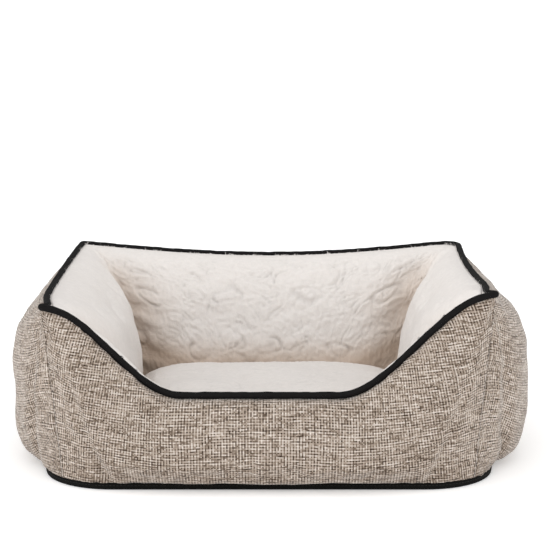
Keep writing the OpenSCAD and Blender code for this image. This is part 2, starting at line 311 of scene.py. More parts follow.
@dataclass
class Inflation:
    """A cloth simulation that fills sewn sheets with air and lets them settle."""

    pressure: float = 4.0
    slack: float = 0.02
    cap: float = 0.006
    sink: float = 0.001
    frames: int = 20
    quality: int = 5
    mass: float = 0.3
    stretch: float = 15.0
    shear: float = 5.0
    bend: float = 0.6
    pieces: list[bpy.types.Object] = field(default_factory=list)

    def add(self, piece: bpy.types.Object) -> None:
        """Adds a sheet whose "edge" attribute says which points are sewn down.

        Args:
            piece: the sheet.
        """
        pins = piece.vertex_groups.new(name="sewn")
        held = [i for i, d in enumerate(piece.data.attributes["edge"].data) if d.value > 0.5]
        pins.add(held, 1.0, "REPLACE")
        self.pieces.append(piece)

    def run(self) -> None:
        """Steps every sheet together, then writes the settled shape back into each mesh."""
        scene = bpy.context.scene
        starts = [read_places(p) for p in self.pieces]
        for piece in self.pieces:
            piece.modifiers["thickness"].show_viewport = False
            cloth = piece.modifiers.new("air", "CLOTH")
            s = cloth.settings
            s.quality = self.quality
            s.mass = self.mass
            s.tension_stiffness = self.stretch
            s.compression_stiffness = self.stretch
            s.shear_stiffness = self.shear
            s.bending_stiffness = self.bend
            s.shrink_min = -self.slack
            s.use_pressure = True
            s.uniform_pressure_force = self.pressure
            s.vertex_group_mass = "sewn"
            s.effector_weights.gravity = 0
            cloth.collision_settings.use_collision = False
            cloth.point_cache.frame_start = 1
            cloth.point_cache.frame_end = self.frames
        for i in range(1, self.frames + 1):
            scene.frame_set(i)
        graph = bpy.context.evaluated_depsgraph_get()
        for piece, start in zip(self.pieces, starts):
            settled = piece.evaluated_get(graph).to_mesh()
            now = np.empty(len(settled.vertices) * 3, np.float32)
            settled.vertices.foreach_get("co", now)
            free = np.array([d.value for d in piece.data.attributes["free"].data])
            move = (now.reshape(-1, 3) - start) * free[:, None]
            facing = np.array([v.normal for v in piece.data.vertices])
            lift = (move * facing).sum(axis=1, keepdims=True)
            move += facing * (np.maximum(lift, -self.sink) - lift)
            size = np.linalg.norm(move, axis=1, keepdims=True)
            move *= np.minimum(1, self.cap / np.maximum(size, 1e-9))
            piece.modifiers.remove(piece.modifiers["air"])
            piece.modifiers["thickness"].show_viewport = True
            write_places(piece, start + move)
            LOG.info("%s settled, mean move %.1f mm", piece.name, 1000 * float(size.mean()))
        scene.frame_set(1)


# --------------------------------------------------------------------------- shaders


class Wire:
    """A shader socket that takes part in Python arithmetic."""

    def __init__(self, tree: bpy.types.NodeTree, socket: bpy.types.NodeSocket) -> None:
        """Wraps one output socket of a tree."""
        self.tree = tree
        self.socket = socket

    def math(self, operation: str, *others: "Wire | float", first: bool = True) -> "Wire":
        """Adds one Math node.

        Args:
            operation: the node's operation.
            others: its further inputs.
            first: False puts this wire after the first of the others.

        Returns:
            The node's result.
        """
        node = self.tree.nodes.new("ShaderNodeMath")
        node.operation = operation
        inputs = [self, *others] if first else [others[0], self, *others[1:]]
        for slot, item in zip(node.inputs, inputs):
            if isinstance(item, Wire):
                self.tree.links.new(item.socket, slot)
            else:
                slot.default_value = item
        return Wire(self.tree, node.outputs[0])

    def __add__(self, other: "Wire | float") -> "Wire":
        """Sum."""
        return self.math("ADD", other)

    def __sub__(self, other: "Wire | float") -> "Wire":
        """Difference."""
        return self.math("SUBTRACT", other)

    def __rsub__(self, other: "Wire | float") -> "Wire":
        """Difference from a number."""
        return self.math("SUBTRACT", other, first=False)

    def __mul__(self, other: "Wire | float") -> "Wire":
        """Product."""
        return self.math("MULTIPLY", other)

    def __truediv__(self, other: "Wire | float") -> "Wire":
        """Quotient."""
        return self.math("DIVIDE", other)

    def __mod__(self, other: float) -> "Wire":
        """Remainder that stays positive."""
        return self.math("FLOORED_MODULO", other)

    __radd__ = __add__
    __rmul__ = __mul__

    def floor(self) -> "Wire":
        """Whole part."""
        return self.math("FLOOR")

    def arch(self) -> "Wire":
        """A round hump from 0 through 1 to 0 as the fraction part goes from 0 to 1."""
        across = self.math("FRACT") * 2 - 1
        return 1 - across * across


class Dye:
    """A material under construction, with a Principled shader as its surface."""

    def __init__(self, name: str, **constants: float | tuple[float, ...]) -> None:
        """Starts a material.

        Args:
            name: the material's name.
            constants: shader inputs that are the same all over, with _ for spaces.
        """
        self.material = bpy.data.materials.new(name)
        self.material.use_nodes = True
        self.tree = self.material.node_tree
        self.tree.nodes.clear()
        self.surface = self.tree.nodes.new("ShaderNodeBsdfPrincipled")
        out = self.tree.nodes.new("ShaderNodeOutputMaterial")
        self.tree.links.new(self.surface.outputs[0], out.inputs[0])
        for key, value in constants.items():
            self.surface.inputs[key.replace("_", " ")].default_value = value

    def node(self, kind: str, settings: dict | None = None, output: int | str = 0,
             **inputs: "Wire | float | tuple[float, ...]") -> Wire:
        """Adds any node.

        Args:
            kind: the node's type.
            settings: its properties, which are set first; "stops" fills a colour ramp.
            output: which output to return.
            inputs: its sockets' values or wires, with _ for spaces and i0, i1 for places.

        Returns:
            The chosen output.
        """
        node = self.tree.nodes.new(kind)
        for key, value in (settings or {}).items():
            if key == "stops":
                self._fill_ramp(node.color_ramp, value)
            else:
                setattr(node, key, value)
        for key, value in inputs.items():
            place = int(key[1:]) if key[0] == "i" and key[1:].isdigit() else key.replace("_", " ")
            slot = node.inputs[place]
            if isinstance(value, Wire):
                self.tree.links.new(value.socket, slot)
            else:
                slot.default_value = value
        return Wire(self.tree, node.outputs[output])

    @staticmethod
    def _fill_ramp(ramp: bpy.types.ColorRamp, stops: list[tuple[float, tuple[float, ...]]]) -> None:
        """Sets a colour ramp's stops.

        Args:
            ramp: the colour ramp.
            stops: places from 0 to 1 with their colours.
        """
        while len(ramp.elements) < len(stops):
            ramp.elements.new(1.0)
        for element, (place, colour) in zip(ramp.elements, stops):
            element.position = place
            element.color = (*colour, 1.0)

    def feed(self, socket: str, wire: Wire) -> None:
        """Links a wire to one input of the surface."""
        self.tree.links.new(wire.socket, self.surface.inputs[socket])

    def noise(self, vector: Wire, scale: float, detail: float = 2.0, rough: float = 0.5) -> Wire:
        """Noise about 0.5, by vector."""
        return self.node("ShaderNodeTexNoise", Vector=vector, Scale=scale, Detail=detail,
                         Roughness=rough)

    def pack(self, x: Wire | float, y: Wire | float, z: Wire | float = 0.0) -> Wire:
        """A vector from three values."""
        return self.node("ShaderNodeCombineXYZ", X=x, Y=y, Z=z)

    def split(self, vector: Wire) -> tuple[Wire, Wire, Wire]:
        """The three values of a vector."""
        node = self.node("ShaderNodeSeparateXYZ", Vector=vector).socket.node
        return tuple(Wire(self.tree, s) for s in node.outputs)

    def ramp(self, value: Wire, stops: list[tuple[float, tuple[float, ...]]]) -> Wire:
        """Colour by value."""
        return self.node("ShaderNodeValToRGB", {"stops": stops}, Fac=value)

    def blend(self, share: Wire | float, a: Wire | tuple, b: Wire | tuple, how: str = "MIX") -> Wire:
        """Mixes two colours."""
        return self.node("ShaderNodeMix", {"data_type": "RGBA", "blend_type": how}, output=2,
                         i0=share, i6=a, i7=b)

    def bump(self, height: Wire, strength: float, distance: float) -> None:
        """Raises the surface by height."""
        self.feed("Normal", self.node("ShaderNodeBump", Strength=strength, Distance=distance,
                                      Height=height))

    def object_place(self) -> Wire:
        """Object coordinates."""
        return self.node("ShaderNodeTexCoord", output="Object")

    def cloth_place(self) -> Wire:
        """The piece's own cloth coordinates."""
        return self.node("ShaderNodeUVMap", {"uv_map": "cloth"})

    def mark(self, name: str) -> Wire:
        """A value stored on the piece's points."""
        return self.node("ShaderNodeAttribute", {"attribute_name": name}, output="Fac")


def srgb(red: int, green: int, blue: int) -> tuple[float, float, float]:
    """Linear colour from 0 to 255 screen values."""
    return tuple(((c / 255 + 0.055) / 1.055) ** 2.4 if c > 10 else c / 3294.6
                 for c in (red, green, blue))


@dataclass(frozen=True)
class WovenFinish:
    """Heathered linen-look cloth: thick uneven yarns over and under each other, with painted shade
    between the yarns and near the floor.
    """

    name: str = "linen_look_weave"
    yarn: float = 0.00175
    waver_scale: float = 45.0
    warp_waver: float = 0.3
    weft_waver: float = 0.25
    yarn_seed: float = 7.31
    warp_share: float = 0.35
    weft_share: float = 0.95
    painted_floor_shade: float = 0.06
    valley_shade: float = 0.3
    relief: float = 0.0006
    stops: tuple[float, float, float, float] = (0.12, 0.38, 0.60, 0.88)
    slub: float = 0.016
    streak: float = 0.03
    warp_pair: float = 0.22
    weft_pair: float = 0.17
    crossing: float = 0.05
    fleck: float = 0.22
    dot_share: float = 0.12
    dot_depth: float = 0.12
    base_tone: float = 0.325
    floor_z: float = 0.07
    dark: tuple[int, int, int] = (58, 45, 36)
    taupe: tuple[int, int, int] = (112, 97, 84)
    sand: tuple[int, int, int] = (174, 159, 145)
    cream: tuple[int, int, int] = (222, 212, 203)

    def material(self) -> bpy.types.Material:
        """Builds the material.

        Returns:
            The material.
        """
        dye = Dye(self.name, Roughness=0.92, Specular_IOR_Level=0.15, Sheen_Weight=0.4,
                  Sheen_Roughness=0.35)
        x, y, _ = dye.split(dye.cloth_place())
        waver = dye.noise(dye.cloth_place(), self.waver_scale, 1.0) - 0.5
        x = x / self.yarn + waver * self.warp_waver
        y = y / self.yarn - waver * self.weft_waver
        column, row = x.floor(), y.floor()
        over = (column + row) % 2.0
        warp = dye.noise(dye.pack(column * self.yarn_seed, y * self.yarn / self.streak, 1.5),
                         1.0, 3.0, 0.6)
        weft = dye.noise(dye.pack(x * self.yarn / self.slub, row * self.yarn_seed, 7.5),
                         1.0, 3.0, 0.6)
        chance = dye.node("ShaderNodeTexWhiteNoise", {"noise_dimensions": "2D"},
                          Vector=dye.pack(column, row))
        fleck = chance - 0.5
        dots = chance.math("LESS_THAN", self.dot_share)
        pairs = (column % 2.0) * self.warp_pair + (row % 2.0) * self.weft_pair
        # Painted shade: the cloth is painted darker near the floor.
        _, _, z = dye.split(dye.object_place())
        low = (1 - z / self.floor_z).math("MAXIMUM", 0.0)
        tone = pairs + (warp - 0.5) * self.warp_share + (weft - 0.5) * self.weft_share \
            + fleck * self.fleck - low * self.painted_floor_shade \
            + over * self.crossing - dots * self.dot_depth + self.base_tone
        tints = (self.dark, self.taupe, self.sand, self.cream)
        colour = dye.ramp(tone, [(stop, srgb(*tint)) for stop, tint in zip(self.stops, tints)])
        # Painted shade: the yarn crowns stay light and the gaps between the yarns are painted darker.
        crown = over * x.arch() + (1 - over) * y.arch()
        valley = crown * self.valley_shade + (1 - self.valley_shade)
        shade = dye.blend(1.0, colour, dye.pack(valley, valley, valley), "MULTIPLY")
        dye.feed("Base Color", shade)
        dye.bump(crown + fleck, 0.5, self.relief)
        return dye.material


@dataclass(frozen=True)
class PlushFinish:
    """Short soft off-white pile, with painted shade: warmer and darker where a stored mark says the
    pile lies in shade.
    """

    name: str = "ivory_plush"
    pile: tuple[int, int, int] = (222, 217, 213)
    # Colour of the painted shade.
    painted_shade: tuple[int, int, int] = (198, 180, 164)
    tuft: float = 0.0022
    groove_shade: float = 0.11
    drift_scale: float = 45.0
    brushed_scale: float = 160.0
    tuft_warmth: float = 0.35
    drift_warmth: float = 0.15
    tuft_shade: float = 0.18
    brushed_shade: float = 0.12
    darkest: float = 0.85
    relief: float = 0.0016

    def material(self) -> bpy.types.Material:
        """Builds the material.

        Returns:
            The material.
        """
        dye = Dye(self.name, Roughness=0.95, Sheen_Weight=0.1, Sheen_Roughness=0.5,
                  Specular_IOR_Level=0.1)
        place = dye.object_place()
        tufts = dye.noise(place, 1 / self.tuft, 3.0, 0.6)
        drift = dye.noise(place, self.drift_scale)
        brushed = dye.noise(place, self.brushed_scale)
        # Painted shade: the stored mark blends the pile towards a warm darker colour where shade falls;
        # the noise adds random tone.
        shade_and_warmth = dye.mark("painted_shade") + (tufts - 0.5) * self.tuft_warmth + (drift - 0.5) * self.drift_warmth
        colour = dye.blend(shade_and_warmth.math("MINIMUM", 1.0).math("MAXIMUM", 0.0),
                           (*srgb(*self.pile), 1.0), (*srgb(*self.painted_shade), 1.0))
        # Painted shade: the pressed grooves of the embossing are painted darker.
        shade = tufts * self.tuft_shade + brushed * self.brushed_shade + self.darkest \
            - dye.mark("pressed") * self.groove_shade
        dye.feed("Base Color", dye.blend(1.0, colour, dye.pack(shade, shade, shade), "MULTIPLY"))
        dye.bump(tufts + brushed * 0.8, 0.5, self.relief)
        return dye.material


@dataclass(frozen=True)
class TwillFinish:
    """Plain fine cloth, such as the piping's strip, the binding, the lining or a zip tape."""

    name: str
    tint: tuple[int, int, int]
    lift: tuple[int, int, int]
    thread: float = 0.0008
    rough: float = 0.85
    lint_scale: float = 420.0
    relief: float = 0.0004

    def material(self) -> bpy.types.Material:
        """Builds the material.

        Returns:
            The material.
        """
        dye = Dye(self.name, Roughness=self.rough, Specular_IOR_Level=0.12)
        x, y, _ = dye.split(dye.cloth_place())
        # Painted shade: the ribs' crowns are painted lighter and the gaps between them darker; the lint
        # noise is random tone.
        rib = ((x + y) / self.thread).arch()
        lint = dye.noise(dye.object_place(), self.lint_scale)
        colour = dye.blend(rib * 0.5 + (lint - 0.5) * 0.8, (*srgb(*self.tint), 1.0),
                           (*srgb(*self.lift), 1.0))
        dye.feed("Base Color", colour)
        dye.bump(rib + lint, 0.35, self.relief)
        return dye.material


@dataclass(frozen=True)
class FibreFinish:
    """White fibre stuffing and felted pads."""

    name: str = "fibre_stuffing"
    tint: tuple[int, int, int] = (244, 242, 238)
    clump_scale: float = 60.0
    relief: float = 0.003

    def material(self) -> bpy.types.Material:
        """Builds the material.

        Returns:
            The material.
        """
        dye = Dye(self.name, Roughness=1.0, Sheen_Weight=0.2)
        place = dye.object_place()
        clump = dye.noise(place, self.clump_scale, 4.0, 0.7)
        shade = clump * 0.3 + 0.8
        dye.feed("Base Color", dye.blend(1.0, (*srgb(*self.tint), 1.0),
                                         dye.pack(shade, shade, shade), "MULTIPLY"))
        dye.bump(clump, 0.6, self.relief)
        return dye.material


@dataclass(frozen=True)
class MetalFinish:
    """Painted or plated zip hardware, rubbed brighter in places."""

    name: str = "zip_metal"
    tint: tuple[int, int, int] = (150, 150, 152)
    rub_scale: float = 900.0
    smoothest: float = 0.25
    darkest: float = 0.88

    def material(self) -> bpy.types.Material:
        """Builds the material.

        Returns:
            The material.
        """
        dye = Dye(self.name, Metallic=0.9)
        rub = dye.noise(dye.object_place(), self.rub_scale)
        dye.feed("Roughness", rub * 0.25 + self.smoothest)
        tone = rub * 0.2 + self.darkest
        dye.feed("Base Color", dye.blend(1.0, (*srgb(*self.tint), 1.0),
                                         dye.pack(tone, tone, tone), "MULTIPLY"))
        return dye.material


@dataclass(frozen=True)
class GripFinish:
    """Rubbery dots under the base."""

    name: str = "grip_dots"
    tint: tuple[int, int, int] = (26, 26, 28)
    dusty: tuple[int, int, int] = (70, 70, 72)
    dust_scale: float = 150.0
    smoothest: float = 0.35

    def material(self) -> bpy.types.Material:
        """Builds the material.

        Returns:
            The material.
        """
        dye = Dye(self.name, Specular_IOR_Level=0.5)
        dust = dye.noise(dye.object_place(), self.dust_scale)
        dye.feed("Roughness", dust * 0.3 + self.smoothest)
        dye.feed("Base Color", dye.blend(dust * 0.3, (*srgb(*self.tint), 1.0),
                                         (*srgb(*self.dusty), 1.0)))
        return dye.material


@dataclass
class Finishes:
    """Every material of the bed."""

    weave: bpy.types.Material = field(default_factory=lambda: WovenFinish().material())
    plush: bpy.types.Material = field(default_factory=lambda: PlushFinish().material())
    stuffing: bpy.types.Material = field(default_factory=lambda: FibreFinish().material())
    piping: bpy.types.Material = field(default_factory=lambda: TwillFinish(
        "black_piping", (13, 12, 12), (30, 28, 28)).material())
    base: bpy.types.Material = field(default_factory=lambda: TwillFinish(
        "black_base_cloth", (7, 7, 6), (18, 18, 16)).material())
    lining: bpy.types.Material = field(default_factory=lambda: TwillFinish(
        "sand_lining", (196, 184, 168), (220, 210, 196)).material())
    tape: bpy.types.Material = field(default_factory=lambda: TwillFinish(
        "zip_tape_cloth", (206, 198, 186), (226, 220, 210)).material())
    thread: bpy.types.Material = field(default_factory=lambda: TwillFinish(
        "seam_thread", (150, 136, 120), (180, 166, 150), 0.0003).material())
    # Dark seam thread; its dark colour also stands in for the shade along the front corner seams.
    seam_thread: bpy.types.Material = field(default_factory=lambda: TwillFinish(
        "dark_seam_thread", (62, 52, 44), (84, 72, 62), 0.0003).material())
    thread_black: bpy.types.Material = field(default_factory=lambda: TwillFinish(
        "black_thread", (34, 33, 32), (60, 58, 56), 0.0003, 0.6).material())
    coil: bpy.types.Material = field(default_factory=lambda: GripFinish(
        "zip_coil_nylon", (214, 208, 198)).material())
    metal: bpy.types.Material = field(default_factory=lambda: MetalFinish().material())
    grip: bpy.types.Material = field(default_factory=lambda: GripFinish().material())


def copied(node: str) -> bmesh.types.BMesh:
    """A merged copy of a CAD node's mesh.

    Args:
        node: name of the node.

    Returns:
        The merged mesh.
    """
    bm = bmesh.new()
    bm.from_mesh(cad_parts[node].data)
    bmesh.ops.remove_doubles(bm, verts=bm.verts, dist=1e-6)
    return bm


def fluffed(node: str, name: str, slim: float = 0.004) -> bpy.types.Object:
    """Fibre stuffing, softened and a little slimmer than its CAD solid.

    Args:
        node: name of the node.
        name: name of the new piece.
        slim: how much slimmer each side is.

    Returns:
        The linked object.
    """
    bm = copied(node)
    bmesh.ops.subdivide_edges(bm, edges=bm.edges, cuts=1, use_grid_fill=True)
    bmesh.ops.smooth_vert(bm, verts=bm.verts, factor=0.5, use_axis_x=True, use_axis_y=True,
                          use_axis_z=True)
    bm.normal_update()
    for v in bm.verts:
        v.co -= v.normal * slim
    return finish_mesh(bm, name)


def dress(piece: bpy.types.Object, material: bpy.types.Material, body: str, slot: str,
          *nodes: str) -> bpy.types.Object:
    """Gives a new piece its material and its body, and hides the nodes it stands for.

    Args:
        piece: the new piece.
        material: its finish.
        body: the body that it rides on.
        slot: not used.
        *nodes: the CAD nodes that it stands for.

    Returns:
        The same piece.
    """
    piece.data.materials.clear()
    piece.data.materials.append(material)
    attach(piece, body)
    if nodes:
        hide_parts(*nodes)
    LOG.info("%s: %d points", piece.name, len(piece.data.vertices))
    return piece


# --------------------------------------------------------------------------- the bed's form


@dataclass(frozen=True)
class BedForm:
    """Where the walls' seams and skins run, worked out from the frame."""

    half_w: float
    half_d: float
    centre_y: float
    corner_h: tuple[float, float, float, float]
    entry_h: float
    bulge: tuple[float, float, float, float]
    inner_bulge: float
    base_out: float
    skirt_z: float
    foot_z: float
    right_extra: float = 0.007
    crown_z: float = 0.066
    foot_inset: float = 0.054
    fullness: tuple[float, float, float, float] = (1.15, 1.9, 1.9, 1.9)
    valley: float = 0.026
    valley_run: float = 0.030
    piping_r: float = 0.0042
    entry_level: float = 0.095
    entry_shift: float = 0.012
    base_r: float = 0.088
    well_r: float = 0.026
    rear_sag: float = 0.016
    side_sag: float = 0.004
    puff: float = 0.006
    swell: float = 0.0045
    squareness: tuple[float, float, float, float] = (2.45, 2.3, 2.3, 2.3)
    low_squareness: tuple[float, float, float, float] = (2.6, 3.8, 2.8, 3.8)
    slump: tuple[float, float, float, float] = (0.0, 0.05, 0.0, 0.05)
    rear_ease: float = 0.14
    blend_share: float = 0.18
    crease: float = 0.008
    crease_run: float = 0.014
    arc_share: float = 0.1
    corner_r: tuple[float, float, float, float] = (0.007, 0.007, 0.024, 0.007)
    bow: tuple[float, float, float, float] = (0.0, -0.006, 0.0, 0.006)
    ear: float = 0.0015
    ear_run: float = 0.020
    tuck: tuple[float, float, float, float] = (0.0, 0.010, 0.0, 0.009)
    tuck_from: float = 0.009
    tuck_run: float = 0.045
    skin_drop: float = 0.9
    lining_drop: float = 0.15
    lip: float = 0.95
    fattest: float = 0.25
    dip: float = 0.006
    draw: float = 0.003
    dip_run: float = 0.022

    @classmethod
    def from_frame(cls) -> "BedForm":
        """Reads the CAD boxes and works the main sizes out.

        Returns:
            The form with its sizes filled in.
        """
        r, lean = cls.piping_r, 0.008
        low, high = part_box("rim_piping")
        half_w = high.x - r
        half_d = (high.y - low.y) / 2 - r
        centre_y = (high.y + low.y) / 2
        top = high.z - r - lean
        reach = {s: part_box(f"outer_{s.label}_panel") for s in Side}
        bulge = (centre_y - half_d - reach[Side.FRONT][0].y,
                 reach[Side.RIGHT][1].x - half_w + cls.right_extra,
                 reach[Side.REAR][1].y - centre_y - half_d, reach[Side.RIGHT][1].x - half_w)
        return cls(half_w=half_w, half_d=half_d, centre_y=centre_y,
                   corner_h=(top - lean, top + lean, top, top),
                   entry_h=low.z + r * math.sin(math.radians(60)), bulge=bulge,
                   inner_bulge=half_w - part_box("plush_right_panel")[0].x,
                   base_out=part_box("base_binding")[1].x - half_w,
                   skirt_z=reach[Side.RIGHT][0].z, foot_z=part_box("plush_rear_panel")[0].z)

    def half_len(self, side: Side) -> float:
        """Half of a wall's length at the rim."""
        return self.half_w if side in (Side.FRONT, Side.REAR) else self.half_d

    def half_span(self, side: Side) -> float:
        """A wall's distance from the well's centre at the rim."""
        return self.half_d if side in (Side.FRONT, Side.REAR) else self.half_w

    def side_xy(self, side: Side, u: np.ndarray, out: np.ndarray,
                r: np.ndarray) -> tuple[np.ndarray, np.ndarray]:
        """One side of a rounded rectangle.

        Args:
            side: which wall.
            u: place along it, 0 to 1 from corner to corner.
            out: distance outside the rim.
            r: corner radius.

        Returns:
            Distance along the wall from its middle, and distance from the well's centre.
        """
        along = self.half_len(side) + out - r
        span = self.half_span(side) + out - r
        m = np.minimum(u, 1 - u)
        way = np.where(u < 0.5, -1.0, 1.0)
        a = np.radians(45) * np.clip(1 - m / self.arc_share, 0, 1)
        straight = np.clip((0.5 - m) / (0.5 - self.arc_share), 0, 1)
        return way * (along * straight + r * np.sin(a)), span + r * np.cos(a)

    def place(self, side: Side, t: np.ndarray, n: np.ndarray, z: np.ndarray) -> np.ndarray:
        """Places from distances along a wall, from the centre and up.

        Args:
            side: the wall.
            t: distance along the wall from its middle.
            n: distance outwards from the centre.
            z: height.

        Returns:
            Places, with x, y and z last.
        """
        x = side.out[0] * n + side.along[0] * t
        y = side.out[1] * n + side.along[1] * t + self.centre_y
        return np.stack([x, y, z + 0 * x], axis=-1)

    def wall_x(self, side: Side, u: np.ndarray) -> np.ndarray:
        """Place along a wall as -1 to 1.

        Args:
            side: the wall.
            u: 0 to 1 along the wall.

        Returns:
            -1 at its start to 1 at its end.
        """
        end, _ = self.side_xy(side, np.ones(1), np.zeros(1), np.full(1, 0.01))
        t, _ = self.side_xy(side, u, 0 * u, 0 * u + 0.01)
        return np.clip(t / end[0], -1, 1)

    def rim_z(self, side: Side, u: np.ndarray) -> np.ndarray:
        """Height of the piping's middle.

        Args:
            side: the wall.
            u: 0 to 1 along the wall.

        Returns:
            The heights.
        """
        x = self.wall_x(side, u)
        here, there = self.corner_h[side.value], self.corner_h[(side.value + 1) % 4]
        straight = mix(here, there, (x + 1) / 2)
        if side is Side.FRONT:
            level = self.entry_level / self.half_w
            off = np.abs(x + self.entry_shift / self.half_w * (1 - x * x))
            return mix(self.entry_h, straight, smooth((off - level) / (1 - level)))
        sag = self.rear_sag if side is Side.REAR else self.side_sag
        return straight - sag * np.cos(np.pi / 2 * x)

    def rim_r(self, side: Side, u: np.ndarray) -> np.ndarray:
        """Corner radius of the rim at the nearer corner."""
        ends = self.corner_r[side.value], self.corner_r[(side.value + 1) % 4]
        return np.where(u < 0.5, ends[0], ends[1])

    def blended(self, values: tuple[float, ...], side: Side, u: np.ndarray) -> np.ndarray:
        """A wall's own value, easing at each corner to the mean of the two walls that meet there.

        Args:
            values: one value for each wall.
            side: the wall.
            u: 0 to 1 along the wall.

        Returns:
            The value at each place.
        """
        own = values[side.value]
        near = np.where(u < 0.5, values[side.value - 1], values[(side.value + 1) % 4])
        return mix(own, (own + near) / 2, 1 - smooth(np.minimum(u, 1 - u) / self.blend_share))

    @staticmethod
    def at_front(side: Side, x: np.ndarray) -> np.ndarray:
        """1 on the halves of the walls that end at a front corner, and 0 elsewhere."""
        halves = {Side.FRONT: np.ones_like(x), Side.RIGHT: (x < 0) * 1.0, Side.LEFT: (x > 0) * 1.0}
        return halves.get(side, 0 * x)

    def rim_push(self, side: Side, u: np.ndarray) -> tuple[np.ndarray, np.ndarray]:
        """How the sewn rim strays: ears at the front corners, and the bow of each side.

        Args:
            side: the wall.
            u: 0 to 1 along the wall.

        Returns:
            How far the rim goes along the wall, and how far outwards.
        """
        x = self.wall_x(side, u)
        gap = (1 - np.abs(x)) * self.half_len(side)
        front = self.at_front(side, x)
        ear = self.ear * np.exp(-(gap / self.ear_run) ** 2) * front
        tuck = self.tuck[side.value] * front * smooth(gap / self.tuck_from) \
            * np.exp(-(gap / self.tuck_run) ** 2)
        return np.sign(x) * ear, ear - tuck + self.bow[side.value] * np.cos(np.pi / 2 * x) ** 0.8

    def rim(self, side: Side, u: np.ndarray) -> np.ndarray:
        """Places of the piping's middle along one wall.

        Args:
            side: the wall.
            u: 0 to 1 along the wall.

        Returns:
            The places.
        """
        t, n = self.side_xy(side, u, 0 * u, self.rim_r(side, u))
        dt, dn = self.rim_push(side, u)
        return self.place(side, t + dt, n + dn, self.rim_z(side, u))

    def outer(self, side: Side, u: np.ndarray, v: np.ndarray) -> Grid:
        """Outside of a wall, v from 0 at the binding to 1 at the rim.

        Args:
            side: the wall.
            u: 0 to 1 along the wall.
            v: 0 to 1 up the skin.

        Returns:
            The places.
        """
        a = np.pi * (v - 0.5)
        top = self.rim_z(side, u) - self.piping_r * self.skin_drop
        mid, half = (top + self.skirt_z) / 2, (top - self.skirt_z) / 2
        power = 2 / np.where(v > 0.5, self.blended(self.squareness, side, u),
                             self.blended(self.low_squareness, side, u))
        k = np.maximum(0, np.cos(a)) ** power
        rise = signed_power(np.sin(a), power)
        z = mid + half * (rise - self.blended(self.slump, side, u) * k)
        f = np.clip((z - self.skirt_z) / (top - self.skirt_z), 0, 1)
        r = mix(self.base_r, self.rim_r(side, u), f)
        t, n = self.side_xy(side, u, mix(self.base_out, 0.0004, f) + self.puff * k, r)
        x = self.wall_x(side, u)
        rearward = {Side.RIGHT: x, Side.LEFT: -x}.get(side, 0 * x)
        full = (self.bulge[side.value] - self.swell - self.puff - self.base_out / 2) \
            * (1 - self.rear_ease * smooth(0.3 + rearward))
        gap = (1 - np.abs(x)) * self.half_len(side)
        seam = -self.crease * np.exp(-(gap / self.crease_run) ** 2) * k / math.sqrt(2)
        dt, dn = self.rim_push(side, u)
        return self.place(side, t + dt * f ** 3 + np.sign(x) * seam,
                          n + full * (1 - x ** 4) * k + dn * f ** 3 + seam, z)

    def inner(self, side: Side, u: np.ndarray, v: np.ndarray) -> Grid:
        """Inside of a wall, v from 0 at the floor through its fattest place to 1 at the rim.

        Args:
            side: the wall.
            u: 0 to 1 along the wall.
            v: 0 to 1 up the skin.

        Returns:
            The places.
        """
        q = np.clip(1 - v / self.fattest, 0, 1)
        a = np.pi / 2 * np.clip((v - self.fattest) / (1 - self.fattest), 0, 1)
        top = self.rim_z(side, u) - self.piping_r * self.lining_drop
        power = 2 / self.blended(self.fullness, side, u)
        rise, reach = np.sin(a) ** power, np.maximum(np.cos(a), 0) ** power
        z = np.where(v < self.fattest, mix(self.crown_z, self.foot_z, q),
                     self.crown_z + (top - self.crown_z) * rise)
        lip = self.piping_r * self.lip
        depth = self.inner_bulge - (self.inner_bulge - self.foot_inset) * q * q - lip
        r = mix(self.well_r, self.rim_r(side, u), rise)
        t, n = self.side_xy(side, u, -depth * reach - lip, r)
        end, _ = self.side_xy(side, 1 + 0 * u, -depth * reach - lip, r)
        x = np.clip(t / end, -1, 1)
        gap = (1 - np.abs(x)) * end
        valley = self.valley * np.exp(-(gap / self.valley_run) ** 2) * reach * (1 - q * q)
        dt, dn = self.rim_push(side, u)
        f = rise ** 6
        front = self.at_front(side, self.wall_x(side, u)) * np.exp(-(gap / self.dip_run) ** 2) * f
        dip, draw = self.dip * front, self.draw * front
        return self.place(side, t + dt * f + np.sign(x) * (valley - draw),
                          n + dn * f + valley - draw, z - dip)


# --------------------------------------------------------------------------- walls


